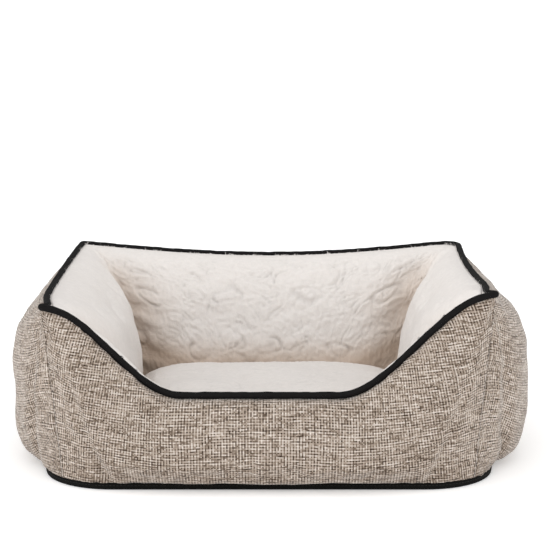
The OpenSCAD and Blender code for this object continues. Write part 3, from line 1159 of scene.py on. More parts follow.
@dataclass
class Embossing:
    """Swirls pressed into the plush: rows of ovals with curls and strokes between them."""

    pitch: float = 0.104
    oval_w: float = 0.020
    oval_h: float = 0.0115
    groove: float = 0.0019
    depth: float = 0.0026
    first_row: float = 0.098
    row_pitch: float = 0.074
    wander: float = 0.004
    wander_wave: float = 0.045
    curl_pitch: float = 0.0095
    curl_r: float = 0.017
    squash: float = 1.3
    stroke_places: tuple[float, float, float] = (0.026, 0.034, 0.042)
    stroke_rise: float = 0.026
    stroke_half: float = 0.009
    stroke_slope: float = 0.9
    flow_wave: float = 0.06
    flow_turns: float = 3.6
    flow_width: float = 0.2
    fade_wave: float = 0.05
    tufts: tuple[tuple[int, float, float], ...] = ((44, 0.007, 0.16), (45, 0.012, 0.12))

    def height(self, x: np.ndarray, y: np.ndarray) -> np.ndarray:
        """Depth of the pressed lines.

        Args:
            x: distance along the cloth.
            y: distance up the cloth.

        Returns:
            Heights from about -depth to depth.
        """
        bend_x = self.wander * ripple(41, x, y, self.wander_wave)
        bend_y = self.wander * ripple(42, x, y, self.wander_wave)
        x, y = x + bend_x, y + bend_y
        total = np.zeros_like(x)
        row = np.floor((y - self.first_row) / self.row_pitch + 0.5)
        dy = y - self.first_row - row * self.row_pitch
        shift = self.pitch / 2 * (row % 2)
        dx = (x - shift + self.pitch / 2) % self.pitch - self.pitch / 2
        total += 1.3 * self._line(self._oval(dx, dy, self.oval_w, self.oval_h))
        for way in (-1, 1):
            total += 0.8 * self._spiral(dx - way * self.pitch / 2, dy + way * 0.006, way)
            for far in self.stroke_places:
                for high in (-1, 1):
                    total += 0.6 * self._stroke(dx - way * far, dy - high * self.stroke_rise,
                                                way * high * self.stroke_slope)
        flow = ripple(31, x, y, self.flow_wave, 7)
        total += 0.6 * np.exp(-(np.sin(flow * self.flow_turns) / self.flow_width) ** 2)
        fade = smooth(0.55 + 0.45 * ripple(43, x, y, self.fade_wave))
        tufts = sum(share * ripple(seed, x, y, wave, 14) for seed, wave, share in self.tufts)
        return self.depth * (tufts - np.minimum(total, 1.3) * fade)

    def pressed(self, height: np.ndarray) -> np.ndarray:
        """0 on the raised pile to 1 in the deepest lines."""
        return np.clip(-height / self.depth - 0.15, 0, 1)

    def _line(self, distance: np.ndarray) -> np.ndarray:
        """A rounded groove where distance is nought."""
        return np.exp(-(distance / self.groove) ** 2)

    @staticmethod
    def _oval(dx: np.ndarray, dy: np.ndarray, half_w: float, half_h: float) -> np.ndarray:
        """Rough distance to an oval's line."""
        return (np.hypot(dx / half_w, dy / half_h) - 1) * half_h

    def _spiral(self, dx: np.ndarray, dy: np.ndarray, way: int) -> np.ndarray:
        """A curl of one and a half turns.

        Args:
            dx: distance across from its middle.
            dy: distance up from its middle.
            way: 1 or -1, the way that it turns.

        Returns:
            0 to 1, 1 in the groove.
        """
        r = np.hypot(dx, dy * self.squash)
        a = (np.arctan2(dy * self.squash * way, dx) + np.pi) / (2 * np.pi)
        lane = (r / self.curl_pitch - a) % 1.0
        off = np.minimum(lane, 1 - lane) * self.curl_pitch
        return self._line(off) * (r < self.curl_r)

    def _stroke(self, dx: np.ndarray, dy: np.ndarray, slope: float) -> np.ndarray:
        """A short slanting stroke.

        Args:
            dx: distance across from its middle.
            dy: distance up from its middle.
            slope: its slope.

        Returns:
            0 to 1, 1 in the groove.
        """
        run = np.clip((dx + slope * dy) / (1 + slope * slope),
                      -self.stroke_half, self.stroke_half)
        return self._line(np.hypot(dx - run, dy - slope * run))


@dataclass
class Walls:
    """The stuffed walls: woven outside, plush inside, fibre between."""

    form: BedForm
    finishes: Finishes
    embossing: Embossing = field(default_factory=Embossing)
    weave_t: float = 0.0012
    plush_t: float = 0.004
    fill_gap: float = 0.0025
    lump: float = 0.0012
    cell: float = 0.0045
    plush_cell: float = 0.0019
    seam_hold: float = 0.03
    stitch: float = 0.0042
    stitch_gap: float = 0.0024
    thread_r: float = 0.0005
    outer_rise: float = 0.28
    plush_rise: float = 0.26
    seam_run: float = 0.04
    broad_wave: float = 0.09
    small_wave: float = 0.035
    tuck: float = 0.0022
    tuck_start: float = 0.006
    tuck_run: float = 0.045
    emboss_from: float = 0.03
    emboss_to: float = 0.25
    # Reach and strength of the plush's painted shade.
    shade_reach: float = 0.06
    corner_shade: float = 0.7
    side_shade: float = 0.3
    fill_grid: tuple[int, int] = (56, 24)
    fill_from: tuple[float, float] = (0.012, 0.03)
    fill_to: tuple[float, float] = (0.988, 0.95)
    crease_hold: float = 0.07

    def build(self, air: Inflation) -> None:
        """Makes both skins and the stuffing of every wall.

        Args:
            air: the shared inflation.
        """
        for side in Side:
            self.outer_panel(side, air)
            self.plush_panel(side, air)
            self.stuffing(side)

    def _uv_grid(self, side: Side, height: float, cell: float) -> tuple[np.ndarray, np.ndarray]:
        """Even rows and columns, closer together next to the corners.

        Args:
            side: the wall.
            height: rough height of the skin.
            cell: rough size of a cell.

        Returns:
            The places along the wall and up it, 0 to 1.
        """
        cols = int(2 * self.form.half_len(side) / cell) // 2 * 2 + 1
        rows = int(height / cell) + 1
        even = np.linspace(0, 1, cols)
        u = mix(even, (1 - np.cos(np.pi * even)) / 2, 0.35)
        return np.meshgrid(mix(0.0006, 0.9994, u), np.linspace(0, 1, rows))

    def _pillow(self, side: Side, places: Grid, cloth: Grid, lump: float) -> Grid:
        """Adds the stuffing's unevenness and soft tucks beside the corner seams.

        Args:
            side: the wall.
            places: places of the smooth skin.
            cloth: how far each place is along and up the cloth.
            lump: height of the unevenness.

        Returns:
            The new places.
        """
        n = normals(places)
        x, y = cloth[..., 0], cloth[..., 1]
        length, height = x.max(), np.maximum(y.max(axis=0, keepdims=True), 1e-6)
        inside = smooth(x / self.seam_run) * smooth((length - x) / self.seam_run)
        upright = np.sin(np.pi * np.clip(y / height, 0, 1)) ** 0.6
        seed = 11 + side.value
        rise = lump * ripple(seed, x, y, self.broad_wave) \
            + lump * 0.5 * ripple(seed + 9, x, y, self.small_wave)
        tuck = np.zeros_like(x)
        for k, edge in enumerate((x, length - x)):
            near = np.exp(-(edge / self.tuck_run) ** 2) * smooth(edge / self.tuck_start)
            tuck += near * self.tuck * ripple(seed + 20 + k, x * 0.3, y, self.small_wave, 5)
        return places + n * ((rise * inside + tuck) * upright)[..., None]

    @staticmethod
    def _free(x: np.ndarray, hold: float) -> np.ndarray:
        """How freely the air moves each point: 0 at the corner seams, 1 past the hold."""
        return smooth(np.minimum(x, x.max() - x) / hold)

    def outer_panel(self, side: Side, air: Inflation) -> None:
        """Sews one woven panel.

        Args:
            side: the wall.
            air: the shared inflation.
        """
        u, v = self._uv_grid(side, self.outer_rise, self.cell)
        places = self.form.outer(side, u, v)
        local = np.stack([lengths(places, 1)[places.shape[0] // 2][None, :] + 0 * u,
                          lengths(places, 0)], axis=-1)
        across = lengths(places, 1)
        across = across - across[:, across.shape[1] // 2][:, None]
        cloth = np.stack([across + 0.7 * (side.value + 1), local[..., 1]], axis=-1)
        places = self._pillow(side, places, local, self.lump)
        if side is Side.FRONT:
            self.seam_thread(places)
        piece = cloth_grid(f"{side.label}_woven_panel", places, cloth,
                           marks={"free": self._free(local[..., 0], self.seam_hold)})
        air.add(piece)
        thicken(piece, self.weave_t)
        dress(piece, self.finishes.weave, BED, "weave", f"outer_{side.label}_panel")

    def seam_thread(self, places: Grid) -> None:
        """Shows the stitches of the front corner seams, where the stuffing pulls them open.

        Args:
            places: places of the front panel.
        """
        away = normals(places)
        for end, column in (("left", 1), ("right", -2)):
            path, up = places[2:-2, column], away[2:-2, column]
            run = np.gradient(path, axis=0)
            run /= np.linalg.norm(run, axis=1, keepdims=True)
            thread = stitches(f"front_{end}_seam_stitches", path, np.cross(up, run), up,
                              self.stitch, self.stitch_gap, self.thread_r)
            # Real stitches, and painted shade: the thread's dark colour also stands in for the shade
            # along the corner seams.
            dress(thread, self.finishes.seam_thread, BED, "weave")

    def plush_panel(self, side: Side, air: Inflation) -> None:
        """Sews one plush panel, pressed with swirls on the rear wall.

        Args:
            side: the wall.
            air: the shared inflation.
        """
        cell = self.plush_cell if side is Side.REAR else self.cell
        u, v = self._uv_grid(side, self.plush_rise, cell)
        places = self.form.inner(side, u[:, ::-1], v)
        cloth = np.stack([lengths(places, 1)[places.shape[0] // 2][None, :] + 0 * u,
                          lengths(places, 0)], axis=-1)
        flat = (float(cloth[..., 0].max()), float(cloth[..., 1].max()))
        places = self._pillow(side, places, cloth, self.lump)
        marks = {}
        if side is Side.REAR:
            fade = smooth(cloth[..., 1] / self.emboss_from - 1) \
                * smooth((self.emboss_to - cloth[..., 1]) / self.emboss_from)
            press = self.embossing.height(cloth[..., 0], cloth[..., 1]) * fade
            places = places + normals(places) * press[..., None]
            marks["pressed"] = self.embossing.pressed(press)
        # Painted shade: the pile is marked warmer and darker low on each wall and beside its corners,
        # less on the side walls.
        corner = np.minimum(cloth[..., 0], flat[0] - cloth[..., 0])
        low = 1 - smooth(places[..., 2] / self.shade_reach - 1)
        beside = np.exp(-(corner / self.shade_reach) ** 2) * (1 - smooth((v - 0.5) / 0.4))
        painted_shade = np.clip(low + self.corner_shade * beside, 0, 1)
        if side in (Side.LEFT, Side.RIGHT):
            painted_shade *= self.side_shade
        marks["painted_shade"] = painted_shade
        marks["free"] = self._free(cloth[..., 0], self.crease_hold)
        piece = cloth_grid(f"{side.label}_plush_panel", places, cloth, marks=marks)
        if side is not Side.REAR:
            air.add(piece)
        thicken(piece, self.plush_t)
        dress(piece, self.finishes.plush, BED, "plush", f"plush_{side.label}_panel")

    def stuffing(self, side: Side) -> None:
        """Fills one wall with fibre, a little slimmer than the room between its skins.

        Args:
            side: the wall.
        """
        u, up = np.meshgrid(*(np.linspace(*ends) for ends in
                              zip(self.fill_from, self.fill_to, self.fill_grid)))
        back = self.form.outer(side, u, up)
        front = self.form.inner(side, u, up[::-1])
        back = back - normals(back) * (self.weave_t + self.fill_gap)
        front = front - normals(front) * (self.plush_t + self.fill_gap)
        places = np.concatenate([back, front, back[:1]])
        piece = cloth_grid(f"{side.label}_stuffing", places, places[..., :2], closed=True)
        close_up(piece)
        dress(piece, self.finishes.stuffing, BED, "stuffing", f"{side.label}_wall_fill")


# --------------------------------------------------------------------------- rim


@dataclass
class RimPiping:
    """Black bias strip round a cord, sewn between the skins, and the pile that laps over it."""

    form: BedForm
    finishes: Finishes
    around: int = 14
    step: float = 0.004
    wrinkle: float = 0.00025
    pile_reach: tuple[float, float, float, float] = (0.85, 0.95, 0.95, 0.95)
    blade_pitch: float = 0.00022
    blade_tall: tuple[float, float] = (0.0032, 0.0062)
    blade_wide: tuple[float, float] = (0.0007, 0.0014)
    blade_lean: float = 0.45
    blade_drop: float = 0.002
    blade_curl: float = 0.0022
    blade_inset: float = 0.0008

    def _path(self, step: float) -> np.ndarray:
        """Places along the whole rim, about step apart, without the last corner again.

        Args:
            step: rough distance between two places.

        Returns:
            The places, in order.
        """
        walls = []
        for side in Side:
            n = int(2 * self.form.half_len(side) / step)
            walls.append(self.form.rim(side, np.arange(n) / n))
        path = np.concatenate(walls)
        for _ in range(2):
            path = (np.roll(path, 1, 0) + 2 * path + np.roll(path, -1, 0)) / 4
        return path

    def tube(self, name: str, radius: float, wrinkle: float) -> bpy.types.Object:
        """Sweeps a round section along the rim.

        Args:
            name: name of the new piece.
            radius: its radius.
            wrinkle: height of its wrinkles.

        Returns:
            The linked object.
        """
        path = self._path(self.step)
        path = np.concatenate([path, path[:1]])
        run = np.gradient(path, axis=0)
        run[0] = run[-1] = path[1] - path[-2]
        run /= np.linalg.norm(run, axis=1, keepdims=True)
        side = np.cross(run, [0, 0, 1.0])
        side /= np.linalg.norm(side, axis=1, keepdims=True)
        places, cloth = sweep(path, side, np.cross(side, run), oval(radius, radius, self.around))
        share = cloth[..., 0] / cloth[0, -1, 0] * 2 * np.pi
        a = cloth[..., 1] / radius
        swell = wrinkle * sum(np.sin(k * share + 2 * a + k) for k in (31, 57, 83, 131)) / 2
        places += (places - path[None]) * (swell / radius)[..., None]
        return cloth_grid(name, places, cloth, closed=True)

    def build(self) -> None:
        """Makes the strip, its cord and the lapping pile."""
        strip = self.tube("rim_piping_strip", self.form.piping_r, self.wrinkle)
        dress(strip, self.finishes.piping, BED, "piping", "rim_piping")
        cord = self.tube("rim_piping_core", self.form.piping_r - 0.0015, 0.0)
        dress(cord, self.finishes.stuffing, BED, "stuffing", "rim_piping_cord")
        self.pile()

    def pile(self) -> None:
        """Fine pile that stands up over the inner edge of the piping."""
        rng = np.random.default_rng(5)
        sides = list(Side)
        counts = {s: int(2 * self.form.half_len(s) / self.blade_pitch) for s in sides}
        total = sum(counts.values())
        bm = bmesh.new()
        bmesh.ops.create_grid(bm, x_segments=total, y_segments=3, size=1)
        upright = [e for e in bm.edges if abs(e.verts[0].co.x - e.verts[1].co.x) < 1e-9]
        bmesh.ops.split_edges(bm, edges=upright)
        roots, outs = [], []
        for s in sides:
            u = rng.uniform(0.0, 1.0, counts[s])
            roots.append(self.form.rim(s, u))
            outs.append(np.repeat([[s.out[0], s.out[1], 0]], counts[s], 0))
        root, out = np.concatenate(roots), np.concatenate(outs)
        along = np.cross(out, [0, 0, 1.0])
        r = self.form.piping_r
        lean = rng.normal(0, self.blade_lean, total)
        reach = np.concatenate([np.full(counts[s], self.pile_reach[s.value]) for s in sides])
        tall = rng.uniform(*self.blade_tall, total) * reach
        width = rng.uniform(*self.blade_wide, total)
        drop = rng.uniform(0.0, self.blade_drop, total)
        flat = {v: (v.co.y, v.co.x, v.link_faces[0].calc_center_median().x) for v in bm.verts}
        for v, (high, x, middle) in flat.items():
            k = min(total - 1, int((middle + 1) / 2 * total))
            up = (high + 1) / 2
            half = -0.5 if x < middle else 0.5
            base = root[k] - out[k] * (r + self.blade_inset) + np.array([0, 0, -r * 0.8 - drop[k]])
            rise = np.array([0, 0, tall[k] * up * 1.15])
            curl = out[k] * self.blade_curl * up * up
            sway = along[k] * (lean[k] * tall[k] * up + half * width[k] * (1 - 0.8 * up))
            v.co = Vector(base + rise + curl + sway)
        uv = bm.loops.layers.uv.new("cloth")
        for face in bm.faces:
            for loop in face.loops:
                loop[uv].uv = loop.vert.co.xy
        piece = finish_mesh(bm, "rim_pile")
        dress(piece, self.finishes.plush, BED, "plush")


# --------------------------------------------------------------------------- base


@dataclass(frozen=True)
class Oblong:
    """A rounded rectangle about the middle of the well."""

    half_w: float
    half_d: float
    r: float
    centre_y: float

    @classmethod
    def of_node(cls, node: str, r: float) -> "Oblong":
        """The outline of a CAD node seen from above."""
        low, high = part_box(node)
        return cls((high.x - low.x) / 2, (high.y - low.y) / 2, r, (high.y + low.y) / 2)

    def inside(self, s: np.ndarray, t: np.ndarray) -> tuple[np.ndarray, np.ndarray]:
        """Places of a square grid from -1 to 1 fitted into the outline.

        Args:
            s: -1 to 1 across.
            t: -1 to 1 along.

        Returns:
            The places across and along.
        """
        x, y = s * self.half_w, t * self.half_d
        a = np.clip((np.abs(x) - self.half_w + self.r) / self.r, 0, 1)
        b = np.clip((np.abs(y) - self.half_d + self.r) / self.r, 0, 1)
        x = x + np.sign(x) * self.r * a * (np.sqrt(1 - b * b / 2) - 1)
        y = y + np.sign(y) * self.r * b * (np.sqrt(1 - a * a / 2) - 1)
        return x, y + self.centre_y

    def ring(self, count: int) -> tuple[np.ndarray, np.ndarray]:
        """Even steps round the outline, anticlockwise, ending where they start.

        Args:
            count: number of steps.

        Returns:
            Places at height 0 and the unit vectors that point outwards there.
        """
        turn = np.radians(np.linspace(0, 90, 25))
        hubs = [(1, -1), (1, 1), (-1, 1), (-1, -1)]
        corners = [np.stack([hx * (self.half_w - self.r) + self.r * np.cos(turn + (k - 1) * np.pi / 2),
                             hy * (self.half_d - self.r) + self.r * np.sin(turn + (k - 1) * np.pi / 2)],
                            axis=1) for k, (hx, hy) in enumerate(hubs)]
        start = (corners[3][-1] + corners[0][0]) / 2
        line = np.concatenate([[start], *corners, [start]])
        far = np.concatenate([[0], np.cumsum(np.linalg.norm(np.diff(line, axis=0), axis=1))])
        even = np.linspace(0, far[-1], count + 1)
        x, y = np.interp(even, far, line[:, 0]), np.interp(even, far, line[:, 1])
        run = np.gradient(np.stack([x, y], axis=1), axis=0)
        run[0] = run[-1] = (x[1] - x[-2], y[1] - y[-2])
        run /= np.linalg.norm(run, axis=1, keepdims=True)
        flat = 0 * x
        return (np.stack([x, y + self.centre_y, flat], axis=1),
                np.stack([run[:, 1], -run[:, 0], flat], axis=1))

    def perimeter(self) -> float:
        """Length of the outline."""
        return 4 * (self.half_w + self.half_d - 2 * self.r) + 2 * math.pi * self.r

    def area(self) -> float:
        """Area of the outline."""
        return 4 * self.half_w * self.half_d - (4 - math.pi) * self.r ** 2


def flat_sheet(name: str, outline: Oblong, z: float, cell: float, thickness: float,
               sag: Callable[[np.ndarray, np.ndarray], np.ndarray]) -> bpy.types.Object:
    """A sheet that lies flat.

    Args:
        name: name of the new piece.
        outline: its outline.
        z: height of its top.
        cell: rough size of its grid.
        thickness: its thickness, downwards.
        sag: extra height from places.

    Returns:
        The linked object, faces up.
    """
    cols, rows = (int(2 * h / cell) for h in (outline.half_w, outline.half_d))
    s, t = np.meshgrid(np.linspace(-1, 1, cols), np.linspace(-1, 1, rows))
    x, y = outline.inside(s, t)
    piece = cloth_grid(name, np.stack([x, y, z + sag(x, y)], axis=-1), np.stack([x, y], axis=-1))
    thicken(piece, thickness)
    return piece


STITCH_SHARES = (0, 0.08, 0.3, 0.7, 0.92, 1.0)
STITCH_SIZES = (0.15, 0.8, 1, 1, 0.8, 0.15)
STITCH_LIFTS = (-1.2, -0.2, 0.2, 0.2, -0.2, -1.2)


def stitches(name: str, path: np.ndarray, side: np.ndarray, up: np.ndarray, length: float,
             gap: float, radius: float) -> bpy.types.Object:
    """A row of thread stitches along a path.

    Args:
        name: name of the new piece.
        path: places along the seam.
        side: unit vectors across the stitches.
        up: unit vectors away from the cloth.
        length: length of one stitch.
        gap: cloth between two stitches.
        radius: half of the thread's thickness.

    Returns:
        The linked object.
    """
    run = lengths(path[None], 1)[0]
    count = int(run[-1] / (length + gap))
    share = np.array(STITCH_SHARES) * length / (length + gap)
    at = ((np.arange(count)[:, None] + share[None]) * (run[-1] / count)).ravel()
    where = [np.stack([np.interp(at, run, c[:, k]) for k in range(3)], axis=1)
             for c in (path, side, up)]
    size = np.tile(STITCH_SIZES, count)
    lift = np.tile(STITCH_LIFTS, count)[:, None] * radius * where[2]
    sides, stops = 6, len(STITCH_SHARES)
    places, cloth = sweep(where[0] + lift, where[1], where[2], oval(radius, radius, sides), size)
    between = np.arange(len(at) - 1) % stops == stops - 1
    open_cells = np.broadcast_to(between, (sides, len(at) - 1))
    piece = cloth_grid(name, places, cloth, closed=True, open_cells=open_cells)
    close_up(piece)
    return piece


@dataclass
class Base:
    """Black base cloth with its bound edge, and the felted pad and lining of the floor."""

    finishes: Finishes
    corner_r: float = 0.088
    well_r: float = 0.026
    dot_pitch: float = 0.012
    dot_r: float = 0.0016
    dot_h: float = 0.0006
    binding_t: float = 0.0042
    binding_rise: float = 0.0012
    stitch: float = 0.0032
    stitch_r: float = 0.0003
    ring_steps: int = 560
    section_steps: int = 16
    squareness: float = 2.6
    edge_waves: tuple[int, ...] = (7, 17, 29, 41)
    edge_wave: float = 0.0006
    stitch_level: float = 0.62
    thread_lift: float = 0.0001
    pad_grid: tuple[int, int] = (84, 66)
    pad_rim: float = 0.1
    pad_crown: float = 0.86
    pad_wave: float = 0.0002
    dot_margin: float = 0.03
    hem: float = 0.002
    sheet_cell: float = 0.012
    sheet_t: float = 0.0012
    sheet_wave: float = 0.0002
    liner_cell: float = 0.008
    liner_t: float = 0.001
    liner_wave: float = 0.0003

    def build(self) -> None:
        """Makes every piece of the base."""
        self.sheet()
        self.grip_dots()
        self.binding()
        self.pad()
        self.liner()

    def sheet(self) -> None:
        """Base cloth, a dot's height above the ground."""
        outline = Oblong.of_node("base_panel", self.corner_r - self.hem)
        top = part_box("base_panel")[1].z
        piece = flat_sheet("base_cloth", outline, top, self.sheet_cell, self.sheet_t,
                           lambda x, y: self.sheet_wave * ripple(3, x, y, 0.09))
        dress(piece, self.finishes.base, BED, "base_fabric", "base_panel")
        outline.area()

    def grip_dots(self) -> None:
        """Staggered rubbery dots under the base cloth."""
        low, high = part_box("base_panel")
        margin = self.dot_margin
        bm = bmesh.new()
        for k in (0, 1):
            dot = bmesh.ops.create_uvsphere(bm, u_segments=8, v_segments=4, radius=self.dot_r)
            bmesh.ops.scale(bm, verts=dot["verts"], vec=(1, 1, self.dot_h / self.dot_r))
            bmesh.ops.translate(bm, verts=dot["verts"], vec=(
                low.x + margin + k * self.dot_pitch / 2, low.y + margin + k * self.dot_pitch / 2,
                self.dot_h + 0.0001))
        piece = finish_mesh(bm, "base_grip_dots")
        for k, room in enumerate((high.x - low.x, high.y - low.y)):
            rows = piece.modifiers.new("rows", "ARRAY")
            rows.use_relative_offset = False
            rows.use_constant_offset = True
            rows.constant_offset_displace = [self.dot_pitch * (i == k) for i in range(3)]
            rows.count = int((room - 2 * margin) / self.dot_pitch)
        dress(piece, self.finishes.grip, BED, "base_fabric")

    def binding(self) -> None:
        """Bias strip folded over the base's edge, with its row of stitches."""
        outline = Oblong.of_node("base_binding", self.corner_r)
        low, high = (c.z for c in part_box("base_binding"))
        high += self.binding_rise
        ring, out = outline.ring(self.ring_steps)
        up = np.broadcast_to([0, 0, 1.0], ring.shape)
        half = (high - low) / 2
        section = oval(self.binding_t / 2, half, self.section_steps, self.squareness,
                       (-self.binding_t * 0.2, low + half))
        places, cloth = sweep(ring, out, up, section)
        share = np.linspace(0, 2 * np.pi, len(ring))[None, :]
        wave = sum(np.sin(k * share + k * k) for k in self.edge_waves) / len(self.edge_waves)
        places = places + out[None] * (self.edge_wave * wave)[..., None] * (places[..., 2:] / high)
        piece = cloth_grid("base_bound_edge", places, cloth, closed=True)
        dress(piece, self.finishes.base, BED, "base_fabric", "base_binding")
        line = ring + out * (self.binding_t * 0.3 + self.thread_lift) \
            + up * (high * self.stitch_level)
        thread = stitches("base_edge_stitches", line, up, out, self.stitch, self.stitch * 0.35,
                          self.stitch_r)
        dress(thread, self.finishes.thread_black, BED, "base_fabric")

    def pad(self) -> None:
        """Felted fibre pad with rounded edges."""
        outline = Oblong.of_node("base_pad", self.well_r)
        low, high = (c.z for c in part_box("base_pad"))
        half = (high - low) / 2
        cols, rows = self.pad_grid
        s, t = np.meshgrid(np.linspace(-1, 1, cols), np.linspace(-1, 1, rows))
        x, y = outline.inside(s, t)
        edge = np.minimum((1 - np.abs(s)) * outline.half_w, (1 - np.abs(t)) * outline.half_d)
        round_it = np.sqrt(np.clip(1 - (1 - np.clip(edge / half, 0, 1)) ** 2, 0, 1))
        bm = bmesh.new()
        for way in (1, -1):
            z = low + half + way * half * (self.pad_rim + self.pad_crown * round_it)
            z = z + way * self.pad_wave * ripple(4, x, y, 0.05)
            half_piece = cloth_grid("half", np.stack([x, y, z], axis=-1)[::way],
                                    np.stack([x, y], axis=-1)[::way])
            bm.from_mesh(half_piece.data)
            bpy.data.objects.remove(half_piece)
        loose = [e for e in bm.edges if e.is_boundary]
        bmesh.ops.bridge_loops(bm, edges=loose)
        piece = finish_mesh(bm, "floor_pad")
        dress(piece, self.finishes.stuffing, BED, "stuffing", "base_pad")

    def liner(self) -> None:
        """Lining cloth over the pad."""
        outline = Oblong.of_node("floor_liner", self.well_r)
        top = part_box("floor_liner")[1].z
        piece = flat_sheet("floor_lining", outline, top, self.liner_cell, self.liner_t,
                           lambda x, y: self.liner_wave * (ripple(8, x, y, 0.06) - 1))
        dress(piece, self.finishes.lining, BED, "lining", "floor_liner")
        outline.area()


# --------------------------------------------------------------------------- cushion


@dataclass
class Cushion:
    """The loose boxed cushion in the well: plush above, cloth below, a band with a zip."""

    finishes: Finishes
    embossing: Embossing = field(default_factory=lambda: Embossing(first_row=0.02, depth=0.0011))
    corner_r: float = 0.045
    seam_edge: float = 0.004
    plush_t: float = 0.004
    cloth_t: float = 0.0012
    cell: float = 0.0026
    zip_end: float = 0.1372
    zip_z: float = 0.0265
    window: float = 0.007
    ring_steps: int = 400
    crown_power: float = 3.2
    crown_room: float = 0.004
    crown_cloth: float = 0.03
    unevenness: float = 0.0016
    under_cell: float = 0.007
    under_wave: float = 0.0001
    band_hem: float = 0.001
    stitch_off: float = 0.0015
    thread_lift: float = 0.0001
    pull: float = 0.0025
    flare: float = 0.0022
    stitch: float = 0.0028
    stitch_gap: float = 0.001
    stitch_r: float = 0.0003

    def build(self, air: Inflation) -> None:
        """Makes the cushion's cover and filling.

        Args:
            air: the shared inflation.
        """
        self.top_panel(air)
        self.bottom_panel()
        self.side_band()
        filling = fluffed("cushion_fill", "cushion_stuffing", 0.003)
        dress(filling, self.finishes.stuffing, CUSHION, "stuffing", "cushion_fill")

    def top_panel(self, air: Inflation) -> None:
        """Crowned plush top with pressed swirls.

        Args:
            air: the shared inflation.
        """
        outline = Oblong.of_node("cushion_top_panel", self.corner_r)
        low, high = (c.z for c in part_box("cushion_top_panel"))
        cols, rows = (int(2 * h / self.cell) for h in (outline.half_w, outline.half_d))
        s, t = np.meshgrid(np.linspace(-1, 1, cols), np.linspace(-1, 1, rows))
        x, y = outline.inside(s, t)
        crown = ((1 - np.abs(s) ** self.crown_power) * (1 - np.abs(t) ** self.crown_power)) ** 0.5
        edge_z = low + self.plush_t / 2
        rise = high - edge_z - self.crown_room
        z = edge_z + rise * crown + self.unevenness * ripple(6, x, y, 0.1) * crown
        x = x - np.sign(s) * self.pull * np.abs(s) ** 6 * (1 - t ** 4)
        y = y - np.sign(t) * self.pull * np.abs(t) ** 6 * (1 - s ** 4)
        places = np.stack([x, y, z], axis=-1)
        press = self.embossing.height(x, y) * smooth(crown / 0.5)
        places = places + normals(places) * press[..., None]
        # Painted shade: the pile is marked warmer and darker towards the cushion's edges, where it
        # meets the walls.
        painted_shade = np.clip(0.5 - 0.6 * crown, 0, 1)
        piece = cloth_grid("cushion_plush_top", places, np.stack([x, y], axis=-1),
                           marks={"painted_shade": painted_shade, "pressed": 0.5 * self.embossing.pressed(press),
                                  "free": smooth(crown / 0.5)})
        air.add(piece)
        thicken(piece, self.plush_t)
        dress(piece, self.finishes.plush, CUSHION, "plush", "cushion_top_panel")

    def bottom_panel(self) -> None:
        """Cloth underside."""
        outline = Oblong.of_node("cushion_bottom_panel", self.corner_r)
        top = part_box("cushion_bottom_panel")[1].z
        piece = flat_sheet("cushion_underside", outline, top, self.under_cell, self.cloth_t,
                           lambda x, y: self.under_wave * ripple(9, x, y, 0.07))
        dress(piece, self.finishes.lining, CUSHION, "lining", "cushion_bottom_panel")
        outline.area()

    def side_band(self) -> None:
        """Side band with its window for the zip and the stitches round it."""
        outline = Oblong.of_node("cushion_side_band", self.corner_r - self.seam_edge)
        low, high = (c.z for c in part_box("cushion_side_band"))
        window = (self.zip_z - self.window, self.zip_z + self.window)
        z = np.concatenate([np.linspace(low, window[0], 3), np.linspace(*window, 7)[1:],
                            np.linspace(window[1], high, 8)[1:]])
        ring, out = outline.ring(self.ring_steps)
        f = (z - low) / (high - low)
        flare = self.flare * (np.abs(2 * f - 1) ** 6)
        section = np.stack([flare, z], axis=1)
        up = np.broadcast_to([0, 0, 1.0], ring.shape)
        places, cloth = sweep(ring, out, up, section)
        back = (ring[:, 1] > outline.centre_y) & (np.abs(ring[:, 0]) < self.zip_end) \
            & (out[:, 1] > 0.99)
        cells = back[:-1] & back[1:]
        rows = (z[:-1] > window[0] - 1e-6) & (z[1:] < window[1] + 1e-6)
        piece = cloth_grid("cushion_band", places, cloth, closed=True,
                           open_cells=rows[:, None] & cells[None, :])
        thicken(piece, self.cloth_t)
        dress(piece, self.finishes.weave, CUSHION, "weave", "cushion_side_band")
        outline.perimeter()
        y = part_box("cushion_side_band")[1].y + self.thread_lift
        x = np.linspace(-self.zip_end, self.zip_end, 60)
        for label, way in (("upper", 1), ("lower", -1)):
            level = self.zip_z + way * (self.window + self.stitch_off)
            line = np.stack([x, 0 * x + y, 0 * x + level], axis=1)
            side = np.broadcast_to([0, 0, 1.0], line.shape)
            away = np.broadcast_to([0, 1.0, 0], line.shape)
            thread = stitches(f"zip_{label}_stitches", line, side, away, self.stitch,
                              self.stitch_gap, self.stitch_r)
            dress(thread, self.finishes.thread, CUSHION, "weave")


